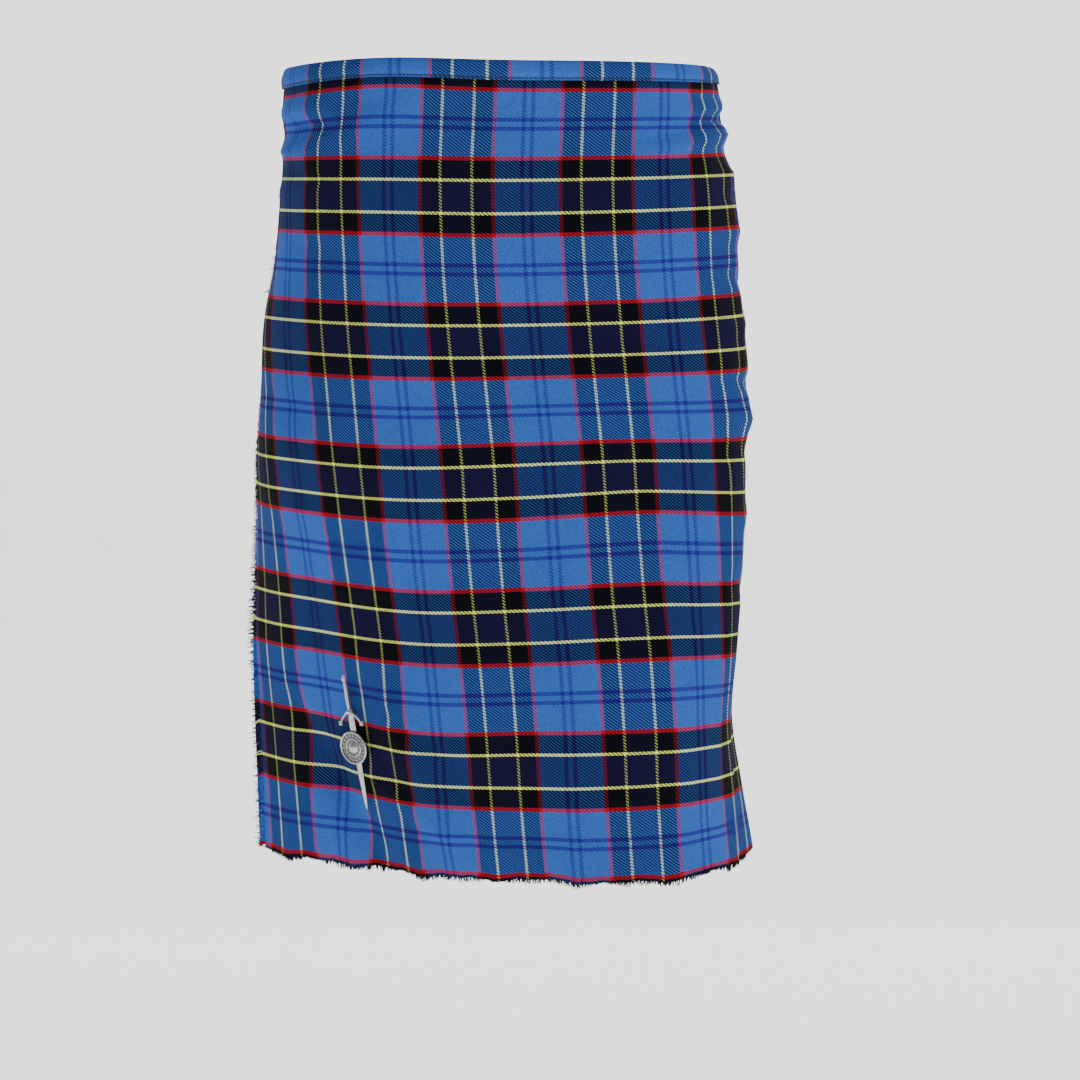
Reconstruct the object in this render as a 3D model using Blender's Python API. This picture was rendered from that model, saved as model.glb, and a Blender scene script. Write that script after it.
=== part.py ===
"""A Scottish kilt, worn: a knee length wrap of twill tartan.

The cloth is one long strip. It starts at the fringed edge of the over apron, crosses the
front, turns under at the wearer's left hip, goes round the back in knife pleats, and ends
as the under apron, which lies behind the over apron. A narrow band binds the top edge,
three leather straps with buckles hold the wrap, and a sword shaped pin lies on the apron.

Frame: metres, +Z up, the front faces -Y and the wearer's left is +X. The origin is the
centre of the waist, at the middle of the waistband's height.

A point of the cloth is given by three numbers, in millimetres:
  u  along the cloth's width, from the warp line at the middle of the front, + to +X,
  v  down the cloth, from the top of the waistband,
  n  out of the outer face of the over apron.
"""
import math

import bmesh
import bpy
import numpy as np

MM = 0.001

# ---------------------------------------------------------------- driving sizes, in mm
LENGTH = 609.0           # top of the waistband to the hem: 24 inches
BAND_HEIGHT = 15.0       # waistband
CLOTH = 1.0              # thickness of the cloth
PITCH = 1.4              # from one layer of a pleat to the next
SEAM = 0.3               # gap between pieces that are sewn together
TURN = 1.2               # cloth round the inside of a fold
PLEATS = 22              # knife pleats round the back
SPLIT = 11               # the pleats are made in two lengths, parted inside this one
BACK_FACE = -1.6         # outer face of the pleats
UNDER_FACE = -4.4        # outer face of the under apron at the wearer's right
UNDER_DEEP = -14.2       # and at the wearer's left, inside the first pleats
STACK_DEPTH = -11.0      # inner face of the pleats' layers
APRON_EDGE = -266.0      # u of the over apron's fringed edge
UNDER_START = -230.0     # u where the last pleat turns into the under apron
CREASE_TOP = 232.0       # u of the over apron's creased edge, at the waistband
CREASE_HEM = 172.0       # and at the hem
PLEAT_LIFT = 3.0         # how far the pleats' edges stand off at the hem
FELL = 200.0             # v down to which the pleats are stitched
UNDER_SHORT = 12.0       # the under apron stops this far before the over apron's crease
UNDER_SINK = (-215.0, 90.0)  # u between which it passes from UNDER_FACE to UNDER_DEEP
APRON_LANDS = -224.0     # u where the over apron no longer lies on the last pleat
APRON_COLUMNS = 20       # columns of the over apron's mesh, from there to the first pleat
UNDER_COLUMNS = 16

# One row for each level of the worn kilt: the widest point at the wearer's right
# (right_x, right_y), the foremost point (front_x, front_y), the widest point at the
# wearer's left (left_x, left_y), the depth at the back, and where the middle warp lies.
# right_round and left_round shape the two quarters at the front: 2 is an ellipse, more is
# squarer, less is straighter.
LEVEL_COLUMNS = ("v", "right_x", "right_y", "front_x", "front_y", "left_x", "left_y",
                 "back_y", "right_round", "left_round", "grain_x")
LEVELS = (
    (0, -162, 0, 2, -118, 162, -2, 108, 2.1, 2.6, -4),
    (20, -165, 0, 2, -118, 168, -2, 110, 2.1, 2.6, -4),
    (50, -167, 0, 2, -119, 173, -4, 114, 2.1, 2.6, -5),
    (75, -168, 0, 3, -121, 174, -7, 119, 2.1, 2.6, -6),
    (100, -170, 0, 4, -123, 182, -10, 124, 2.1, 2.6, -6),
    (150, -174, 2, 6, -127, 184, -16, 133, 2.1, 2.6, -4),
    (200, -182, 4, 9, -130, 188, -24, 138, 2.1, 2.7, 0),
    (250, -185, 5, 14, -133, 192, -32, 141, 2.05, 2.8, 5),
    (300, -189, 6, 22, -137, 189, -38, 143, 2.0, 3.0, 10),
    (350, -191, 22, 34, -142, 187, -46, 145, 1.9, 3.1, 13),
    (400, -196, 42, 48, -148, 184, -54, 147, 1.8, 3.1, 17),
    (450, -198, 48, 60, -154, 180, -60, 149, 1.72, 3.0, 22),
    (500, -197, 53, 70, -160, 176, -60, 151, 1.65, 2.8, 26),
    (550, -196, 50, 76, -164, 183, -54, 153, 1.52, 2.5, 29),
    (609, -195, 44, 80, -167, 194, -44, 155, 1.4, 2.2, 34),
)
BACK_ROUND = 2.0

# How far the weft lines rise, for each level: at the wearer's right side, right front,
# middle, left front and left side.
RISE_COLUMNS = ("v", "right_side", "right_front", "middle", "left_front", "left_side")
RISE_PLACES = (-200.0, -80.0, 0.0, 100.0, 200.0)
RISES = (
    (0, -3, 2, 0, -1, -3),
    (22, -4, 3, 0, 0, 0),
    (72, 0, 1, 0, 1, 3),
    (130, 1, 0, -1, 1, 4),
    (180, 1, -1, -1, 1, 4),
    (235, 1, -1, 0, 2, 3),
    (285, 1, -1, 2, 4, 2),
    (340, 2, -1, 2, 7, 1),
    (390, 1, -3, 1, 5, 0),
    (448, 1, -3, 1, 5, 1),
    (500, 2, -4, 1, 3, 2),
    (555, -1, -4, -1, 2, 3),
    (609, -5, -4, 0, 1, 9),
)

# How far the over apron stands off the pleats along its fringed edge, at each level, and
# how near to the edge that begins and is complete.
APRON_FLARE = ((0, 3.0), (20, 3.0), (48, 1.0), (140, 0.8), (200, 2), (300, 1), (400, 2),
               (450, 5), (609, 7))
FLARE_STARTS = -180.0
FLARE_FULL = -228.0

# Waistband: a folded binding over the top edge of the cloth.
BAND_OFF = 0.5           # between its legs and the cloth
BAND_ROLL = 0.6          # where its face begins to turn over the top
BAND_STACKS = (-3.8, -6.6, -9.4)   # inner face of the cloth it binds at stations -2, -1, 0

# Fringe of the over apron's edge: strands of weft left when warp threads are drawn out.
FRINGE_TOP = 24.0        # v of its first strand
FRINGE_STRANDS = 100
FRINGE_STRIP = 2.2       # width of the strip that holds the strands
FRINGE_LENGTH = 9.0      # strands beyond the strip, give or take FRINGE_UNEVEN
FRINGE_UNEVEN = 2.0

# Straps, each from its sewn end along u to the buckle's bar. v is its middle, and way is
# the sign of u that it runs towards.
STRAP_WIDTH = 25.0
LEATHER = 2.0            # thickness of the leather
STRAP_COLUMNS = ("name", "v", "sewn", "bar", "way", "off")   # off: its back to the cloth
STRAPS = (
    ("right_waist", 46.0, -253.0, -322.0, -1, 1.1),
    ("right_hip", 132.0, -253.0, -326.0, -1, 1.1),
    ("left_waist", 46.0, 260.0, 310.0, 1, 0.4),
)
BAR_RADIUS = 1.5         # wire of the buckles
BAR_OFF = 0.7            # between the bar and the leather round it
FRAME_LENGTH = 20.0      # buckle, from its bar to its front
FRAME_WIDTH = 34.0
TAB_LENGTH = 34.0        # leather that holds the buckle, behind its bar
TAB_RETURN = 5.0         # and what is folded back over the bar
TIP_LENGTH = 40.0        # strap beyond the buckle's bar
TIP_POINT = 12.0
KEEPER_PLACE = 14.0      # the keeper's middle, behind the bar
KEEPER_WIDTH = 8.0

# Sword shaped pin on the over apron's lower corner.
PIN_TOP = (-156.0, 462.0)     # (u, v) of the pommel's end
PIN_TIP = (-152.7, 565.0)     # (u, v) of the blade's tip
PIN_STANDOFF = 4.8            # back of the sword to the cloth
SWORD_THICKNESS = 2.2
SWORD_OUTLINE = (             # (along, half width), from the pommel to the tip
    (0.0, 0.8), (1.2, 1.8), (3.6, 2.1), (6.0, 1.1), (8.0, 1.3), (16.0, 1.8), (24.0, 1.4),
    (27.0, 2.4), (34.0, 3.0), (60.0, 3.0), (82.0, 2.3), (93.0, 1.4),
)
GUARD_RADIUS = 1.1            # the two drooping arms of the guard, in front of the blade
GUARD_PATH = ((36.0, -10.3), (31.5, -7.0), (27.5, 0.0), (31.5, 7.0), (36.0, 10.3))
TARGE_PLACE = 57.0            # middle of the small shield, along the sword
TARGE_PROFILE = ((13.0, 0.0), (13.0, 1.0), (12.2, 1.6), (11.0, 1.2), (6.0, 1.7), (4.6, 2.2),
                 (3.0, 3.2), (1.4, 3.8))
TARGE_SIDES = 24
PIN_WIRE = 0.5                # radius of the pin's wire
PIN_WIRE_DEPTH = 1.6          # its middle behind the sword
PIN_WIRE_ENDS = (12.0, 86.0)  # where its hinge and its catch are, along the sword

# Rows of the cloth's meshes, the same for each piece, so that layers stay apart.
CLOTH_ROWS = (1.6, 20.0, 48.0, 76.0, 130.0, 200.0, 280.0, 360.0, 440.0, 520.0, LENGTH)

# Soft folds pressed into the cloth: from (u, v) to (u, v), how far the cloth stands out
# (+) or in (-), and the width of the fold.
FOLD_COLUMNS = ("u0", "v0", "u1", "v1", "height", "width")
FOLDS = (
    (-215, 46, -120, 50, -4, 14),      # the strap's pull at the wearer's right hip
    (-215, 30, -130, 32, 3, 14),
    (150, 44, 330, 44, -4, 14),        # the strap's pull at the wearer's left hip
    (-230, 480, -120, 640, -9, 34),    # the apron's lower corner swings back
    (-150, 430, -40, 640, 6, 40),
    (70, 250, 130, 470, -4, 36),       # between the thighs
)


# ---------------------------------------------------------------- the worn form
def smooth_rows(table, columns, v):
    """The table's columns at v, on a smooth curve through the rows."""
    rows = np.array(table, dtype=float)
    knots = rows[:, 0]
    v = min(max(v, knots[0]), knots[-1])
    i = int(min(max(np.searchsorted(knots, v) - 1, 0), len(knots) - 2))
    slopes = np.gradient(rows, knots, axis=0)
    gap = knots[i + 1] - knots[i]
    t = (v - knots[i]) / gap
    value = ((2 * t**3 - 3 * t**2 + 1) * rows[i] + (t**3 - 2 * t**2 + t) * gap * slopes[i]
             + (3 * t**2 - 2 * t**3) * rows[i + 1] + (t**3 - t**2) * gap * slopes[i + 1])
    return dict(zip(columns, value))


def quarter(start, end, about, exponent, steps=40):
    """A quarter of the section, from start to end, square to the axes at both."""
    angle = np.linspace(0, math.pi / 2, steps, endpoint=False)
    across = np.cos(angle) ** (2 / exponent)
    along = np.sin(angle) ** (2 / exponent)
    start, end, about = (np.array(p, dtype=float) for p in (start, end, about))
    return about + np.outer(across, start - about) + np.outer(along, end - about)


class Section:
    """The kilt's outline at one level, measured along its length from the middle warp."""

    def __init__(self, v):
        self.level = level = smooth_rows(LEVELS, LEVEL_COLUMNS, v)
        front = (level["front_x"], level["front_y"])
        left = (level["left_x"], level["left_y"])
        right = (level["right_x"], level["right_y"])
        back = ((level["left_x"] + level["right_x"]) / 2, level["back_y"])
        turns = (quarter(front, left, (front[0], left[1]), level["left_round"]),
                 quarter(left, back, (back[0], left[1]), BACK_ROUND),
                 quarter(back, right, (back[0], right[1]), BACK_ROUND),
                 quarter(right, front, (front[0], right[1]), level["right_round"]))
        loop = np.vstack(turns)
        self.loop = np.vstack((loop, loop[:1]))
        steps = np.linalg.norm(np.diff(self.loop, axis=0), axis=1)
        self.run = np.concatenate(([0.0], np.cumsum(steps)))
        self.girth = self.run[-1]
        front_part = self.loop[:, 1] < min(left[1], right[1])
        order = np.argsort(self.loop[front_part, 0])
        self.start = np.interp(level["grain_x"], self.loop[front_part, 0][order],
                               self.unrolled(front_part)[order])

    def unrolled(self, chosen):
        """Lengths of the chosen points, counted so that those before the front are < 0."""
        run = self.run[chosen]
        return np.where(run > self.girth / 2, run - self.girth, run)

    def at(self, u):
        place = (u + self.start) % self.girth
        return np.array([np.interp(place, self.run, self.loop[:, i]) for i in (0, 1)])

    def frame(self, u, reach=4.0):
        """The point at u, and the direction straight out of the cloth there."""
        along = self.at(u + reach) - self.at(u - reach)
        along = along / np.linalg.norm(along)
        return self.at(u), np.array((along[1], -along[0]))


SECTIONS = {}


def section(v):
    key = round(v, 3)
    if key not in SECTIONS:
        SECTIONS[key] = Section(v)
    return SECTIONS[key]


def fold_height(u, v):
    """How far the soft folds push the cloth out at (u, v)."""
    total = 0.0
    for row in FOLDS:
        fold = dict(zip(FOLD_COLUMNS, row))
        start = np.array((fold["u0"], fold["v0"]), dtype=float)
        along = np.array((fold["u1"], fold["v1"]), dtype=float) - start
        length = np.linalg.norm(along)
        along = along / length
        offset = np.array((u, v)) - start
        reach = float(np.dot(offset, along)) / length
        aside = offset[0] * along[1] - offset[1] * along[0]
        fade = max(0.0, 1 - (2 * reach - 1) ** 2)
        total += fold["height"] * fade * math.exp(-(aside / (0.5 * fold["width"])) ** 2)
    return total


def rise(u, v):
    """How far the weft line at v is lifted at u: none at the front's middle and back."""
    half = section(v).girth / 2
    u = (u + half) % (2 * half) - half
    row = smooth_rows(RISES, RISE_COLUMNS, v)
    places = (-half, *RISE_PLACES, half)
    heights = (0.0, *(row[name] for name in RISE_COLUMNS[1:]), 0.0)
    return smooth_rows(tuple(zip(places, heights)), ("u", "height"), u)["height"]


def flare(u, v):
    """How far the over apron stands off the pleats near its fringed edge."""
    near = min(max((u - FLARE_STARTS) / (FLARE_FULL - FLARE_STARTS), 0.0), 1.0)
    return smooth_rows(APRON_FLARE, ("v", "off"), v)["off"] * near * near * (3 - 2 * near)


def cloth_point(u, v, n):
    """A point n out of the over apron's outer face, in metres."""
    place, out = section(v).frame(u)
    place = place + out * (n + fold_height(u, v))
    return np.array((place[0], place[1], BAND_HEIGHT / 2 - v + rise(u, v))) * MM


# ---------------------------------------------------------------- solids
def fresh_scene():
    for thing in list(bpy.data.objects):
        bpy.data.objects.remove(thing, do_unlink=True)


def material(name, colour, roughness, metallic=0.0):
    """A Principled material: colour in linear light."""
    made = bpy.data.materials.new(name)
    made.use_nodes = True
    shader = made.node_tree.nodes["Principled BSDF"]
    shader.inputs["Base Color"].default_value = (*colour, 1.0)
    shader.inputs["Roughness"].default_value = roughness
    shader.inputs["Metallic"].default_value = metallic
    made.diffuse_color = (*colour, 1.0)
    return made


def add_object(name, mesh_maker, finish, smooth=True):
    """A bmesh made into a named object, its faces turned outwards."""
    bmesh.ops.recalc_face_normals(mesh_maker, faces=mesh_maker.faces)
    mesh = bpy.data.meshes.new(name)
    mesh_maker.to_mesh(mesh)
    mesh_maker.free()
    if smooth:
        mesh.shade_smooth()
        mesh.set_sharp_from_angle(angle=math.radians(40))
    made = bpy.data.objects.new(name, mesh)
    bpy.context.collection.objects.link(made)
    mesh.materials.append(finish)
    return made


def slab(rows, reversed_columns=()):
    """A closed wall. rows[r][c] is a pair of points, one on each face of the wall.

    Each four sided patch is parted along the same diagonal on both faces, the other
    diagonal where the column is reversed, so that neighbouring layers stay parallel.
    """
    shape = bmesh.new()
    grids = [[[shape.verts.new(pair[side]) for pair in row] for row in rows]
             for side in (0, 1)]
    last_row, last_column = len(rows) - 1, len(rows[0]) - 1

    def patch(a, b, c, d):
        shape.faces.new((a, b, c))
        shape.faces.new((a, c, d))

    for grid in grids:
        for r in range(last_row):
            upper, lower = grid[r], grid[r + 1]
            for c in range(last_column):
                if c in reversed_columns:
                    patch(upper[c + 1], upper[c], lower[c], lower[c + 1])
                else:
                    patch(upper[c], upper[c + 1], lower[c + 1], lower[c])
    front, back = grids
    for r in (0, last_row):
        for c in range(last_column):
            patch(front[r][c], front[r][c + 1], back[r][c + 1], back[r][c])
    for c in (0, last_column):
        for r in range(last_row):
            patch(front[r][c], front[r + 1][c], back[r + 1][c], back[r][c])
    return shape


# ---------------------------------------------------------------- pleats
def crease(v):
    """u of the over apron's creased edge."""
    return CREASE_TOP + (CREASE_HEM - CREASE_TOP) * v / LENGTH


def station(i, v):
    """u of the i-th pleat's folded edge. The over apron's crease is edge 0."""
    width = (section(v).girth + UNDER_START - crease(v)) / PLEATS
    return crease(v) + i * width


def layer_face(i, depth, v):
    """n of the outer face of a layer, the depth-th one under folded edge i."""
    face = 0.0 if i <= 0 else BACK_FACE
    return face - depth * PITCH


def edge_lift(i, v):
    """How far pleat i's folded edge stands off, below where the pleats are stitched."""
    if i < 1 or i > PLEATS - 3:
        return 0.0
    free = max(0.0, (v - FELL) / (LENGTH - FELL))
    return PLEAT_LIFT * free


class Chain:
    """The cloth's path across one level: pairs of (u, n), its right side and its wrong."""

    def __init__(self, v):
        self.v = v
        self.pairs = []

    def add(self, right, wrong):
        self.pairs.append((right, wrong))

    def outward(self, u, face):
        """A place where the cloth's right side faces out."""
        self.add((u, face), (u, face - CLOTH))

    def under(self, i, depth):
        """Layer at edge i, its right side facing out, passing under depth layers."""
        self.outward(station(i, self.v), layer_face(i, depth, self.v))

    def turned(self, i, depth):
        """Layer at edge i with its right side facing in."""
        u, face = station(i, self.v), layer_face(i, depth, self.v)
        self.add((u, face - CLOTH), (u, face))

    def outer_fold(self, i):
        """Folded edge i: from the face that shows to the layer under it."""
        u = station(i, self.v)
        lift = edge_lift(i, self.v)
        top, below = layer_face(i, 0, self.v) + lift, layer_face(i, 1, self.v) + lift
        self.add((u, top), (u - TURN, top - CLOTH))
        self.add((u, below - CLOTH), (u - TURN, below))

    def inner_fold(self, j):
        """The hidden fold of pleat j, two edges back from its folded edge."""
        i = j - 2
        depth = 1 + 2 * (j - max(i, 0))
        u = station(i, self.v)
        face = layer_face(i, depth, self.v)
        self.add((u + TURN, face - CLOTH), (u, face))
        self.add((u + TURN, face - PITCH), (u, face - PITCH - CLOTH))

    def back_layer(self, j):
        """Pleat j's cloth going back under the edge before it."""
        self.turned(j - 1, 1 + 2 * (j - max(j - 1, 0)))

    def forward_layers(self, j):
        """Pleat j's cloth coming forward to show after edge j."""
        self.under(j - 1, 2 + 2 * (j - max(j - 1, 0)))
        self.under(j, 2)


def apron_columns(v):
    """u of the over apron's columns, as far as the pleats that its creased edge covers."""
    over_pleats = np.linspace(APRON_EDGE, APRON_LANDS, 5, endpoint=False)
    across = np.linspace(APRON_LANDS, station(-2, v), APRON_COLUMNS, endpoint=False)
    return (*over_pleats, *across)


def under_columns(v):
    """u of the under apron's columns, from the last pleat's edge."""
    start = station(PLEATS, v) - section(v).girth
    return np.linspace(start, crease(v) - UNDER_SHORT, UNDER_COLUMNS + 1)


def under_face(u):
    """n of the under apron's outer face."""
    part = min(max((u - UNDER_SINK[0]) / (UNDER_SINK[1] - UNDER_SINK[0]), 0.0), 1.0)
    return UNDER_FACE + (UNDER_DEEP - UNDER_FACE) * part


def over_apron_chain(v):
    chain = Chain(v)
    for u in apron_columns(v):
        chain.outward(u, flare(u, v))
    chain.under(-2, 0)
    chain.under(-1, 0)
    chain.outer_fold(0)
    chain.turned(-1, 1)
    chain.turned(-2, 1)
    return chain.pairs


def pleats_chain(first, last):
    """Pleats from first to last: starts under the piece before, ends in its last fold."""
    def make(v):
        chain = Chain(v)
        before = first - 1
        start = before - 2
        chain.under(start, 2 + 2 * (before - max(start, 0)))
        chain.forward_layers(before)
        for j in range(first, last + 1):
            chain.outer_fold(j)
            chain.back_layer(j)
            if j < last:
                chain.inner_fold(j)
                chain.forward_layers(j)
        i = last - 2
        chain.turned(i, 1 + 2 * (last - max(i, 0)))
        return chain.pairs
    return make


def under_apron_chain(v):
    """The cloth after the last pleat, behind the over apron."""
    chain = Chain(v)
    chain.under(PLEATS - 2, 6)
    chain.under(PLEATS - 1, 4)
    chain.under(PLEATS, 2)
    for u in under_columns(v)[1:]:
        chain.outward(u, under_face(u))
    return chain.pairs


def cloth_piece(name, chain, finish, rows=CLOTH_ROWS):
    """A piece of the cloth from its path at each level."""
    paths = [chain(v) for v in rows]
    walls = [[tuple(cloth_point(u, v, n) for u, n in pair) for pair in path]
             for path, v in zip(paths, rows)]
    along = [pair[0][0] for pair in paths[0]]
    returning = [c for c in range(len(along) - 1) if along[c + 1] < along[c]]
    return add_object(name, slab(walls, returning), finish)


# ---------------------------------------------------------------- waistband
def woven_point(column, v):
    """A point of one column of the cloth's mesh, which runs straight between its rows.

    column gives (u, n) at a row.
    """
    above = max([row for row in CLOTH_ROWS[:-1] if row <= v] or [CLOTH_ROWS[0]])
    below = CLOTH_ROWS[CLOTH_ROWS.index(above) + 1]
    part = (v - above) / (below - above)
    high, low = ((column(row)[0], row, column(row)[1]) for row in (above, below))
    return (1 - part) * cloth_point(*high) + part * cloth_point(*low)


def beside(place, n, stands=0.0):
    """A column at place, which gives u at a row, n off the cloth. stands 1.0 adds the flare."""
    return lambda row: (place(row), n + stands * flare(place(row), row))


def binding(place, outer, inner, stands=0.0):
    """The band's folded section over cloth whose faces are at outer and inner."""
    leg_out, leg_in = outer + BAND_OFF, inner - BAND_OFF
    middle = (leg_out + leg_in) / 2
    path = (((leg_out + CLOTH, BAND_HEIGHT), (leg_out, BAND_HEIGHT)),
            ((leg_out + CLOTH, BAND_ROLL), (leg_out, CLOTH + SEAM)),
            ((middle, 0.0), (middle, CLOTH + SEAM)),
            ((leg_in - CLOTH, BAND_ROLL), (leg_in, CLOTH + SEAM)),
            ((leg_in - CLOTH, BAND_HEIGHT), (leg_in, BAND_HEIGHT)))
    return [tuple(woven_point(beside(place, n, stands), v) for n, v in pair) for pair in path]


def outer_band(finish):
    """The band over the over apron and on round the pleats, in one length."""
    rows = []
    for k in range(len(apron_columns(0.0))):
        rows.append(binding(lambda v, k=k: apron_columns(v)[k], 0.0, -CLOTH, 1.0))
    stacks = dict(zip((-2, -1, 0), BAND_STACKS))
    for i in range(-2, PLEATS + 1):
        outer = 0.0 if i <= 0 else BACK_FACE
        rows.append(binding(lambda v, i=i: station(i, v), outer, stacks.get(i, STACK_DEPTH)))
    return add_object("waistband_outer", slab(rows, (0,)), finish)


def under_band(finish):
    rows = []
    for k in range(UNDER_COLUMNS + 1):
        place = lambda v, k=k: under_columns(v)[k]
        face = under_face(place(CLOTH_ROWS[0]))
        rows.append(binding(place, face, face - CLOTH))
    return add_object("waistband_under", slab(rows, (0,)), finish)


# ---------------------------------------------------------------- fringe
def fringe(finish):
    """A narrow strip beside the over apron's edge, with a pointed strand on every other cell."""
    shape = bmesh.new()
    uneven = np.random.default_rng(7)
    near, far = APRON_EDGE - SEAM, APRON_EDGE - SEAM - FRINGE_STRIP
    cuts = np.linspace(FRINGE_TOP, LENGTH - 2.0, 2 * FRINGE_STRANDS + 1)
    rings = []
    for v in cuts:
        corners = ((near, 0.0), (far, 0.0), (far, -CLOTH), (near, -CLOTH))
        rings.append([shape.verts.new(woven_point(beside(lambda row, u=u: u, n, 1.0), v))
                      for u, n in corners])
    for k in range(len(cuts) - 1):
        a, b = rings[k], rings[k + 1]
        shape.faces.new((a[0], a[1], b[1], b[0]))
        shape.faces.new((a[2], a[3], b[3], b[2]))
        shape.faces.new((a[3], a[0], b[0], b[3]))
        if k % 2:
            shape.faces.new((a[1], a[2], b[2], b[1]))
            continue
        reach = FRINGE_LENGTH + FRINGE_UNEVEN * (2 * uneven.random() - 1)
        droop = 1.5 + 2.5 * uneven.random()
        middle = (cuts[k] + cuts[k + 1]) / 2
        tip_off = flare(APRON_EDGE, middle) - CLOTH / 2 + uneven.random()
        tip = shape.verts.new(cloth_point(far - reach, middle + droop, tip_off))
        loop = (a[1], a[2], b[2], b[1])
        for i in range(4):
            shape.faces.new((loop[i], loop[(i + 1) % 4], tip))
    shape.faces.new(rings[0])
    shape.faces.new(list(reversed(rings[-1])))
    return add_object("apron_fringe", shape, finish, smooth=False)


# ---------------------------------------------------------------- straps and buckles
def strap_point(u, v, aside, n):
    """Like cloth_point, but straight across a strap whose middle is at v.

    It lies on the highest of the cloth's soft folds under the strap.
    """
    half = STRAP_WIDTH / 2
    high = max(fold_height(u, v + part * half) for part in (-1, -0.5, 0, 0.5, 1))
    ends = []
    for w in (v - half, v + half):
        place, out = section(w).frame(u)
        place = place + out * (n + high)
        ends.append(np.array((place[0], place[1], BAND_HEIGHT / 2 - w + rise(u, w))) * MM)
    part = (aside + half) / STRAP_WIDTH
    return ends[0] * (1 - part) + ends[1] * part


def strip(name, path, v, finish):
    """Leather along u. path holds (u, n) of its outer face, of its inner, and half width."""
    rows = []
    for side in (-1, 1):
        rows.append([tuple(tuple(strap_point(u, v, side * half, n)) for u, n in (outer, inner))
                     for outer, inner, half in path])
    return add_object(name, slab(rows), finish)


def ring_along(shape, centres, radius, sides, closed):
    """A tube through centres, each with two directions across it."""
    rings = []
    for centre, one, two in centres:
        rings.append([shape.verts.new(centre + radius * MM * (one * math.cos(a) + two * math.sin(a)))
                      for a in (2 * math.pi * k / sides for k in range(sides))])
    count = len(rings)
    for i in range(count if closed else count - 1):
        a, b = rings[i], rings[(i + 1) % count]
        for k in range(sides):
            shape.faces.new((a[k], a[(k + 1) % sides], b[(k + 1) % sides], b[k]))
    if not closed:
        shape.faces.new(rings[0])
        shape.faces.new(list(reversed(rings[-1])))


def tube(name, points, radius, finish, sides=6, closed=False):
    """A wire through points, in metres."""
    points = [np.array(p) for p in points]
    count = len(points)
    centres = []
    for i, point in enumerate(points):
        before = points[(i - 1) % count] if closed or i else point
        after = points[(i + 1) % count] if closed or i < count - 1 else point
        along = after - before
        along /= np.linalg.norm(along)
        helper = np.array((0.0, 0.0, 1.0)) if abs(along[2]) < 0.75 else np.array((0.31, 0.95, 0.0))
        one = np.cross(along, helper)
        one /= np.linalg.norm(one)
        centres.append((point, one, np.cross(along, one)))
    shape = bmesh.new()
    ring_along(shape, centres, radius, sides, closed)
    return add_object(name, shape, finish)


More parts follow.
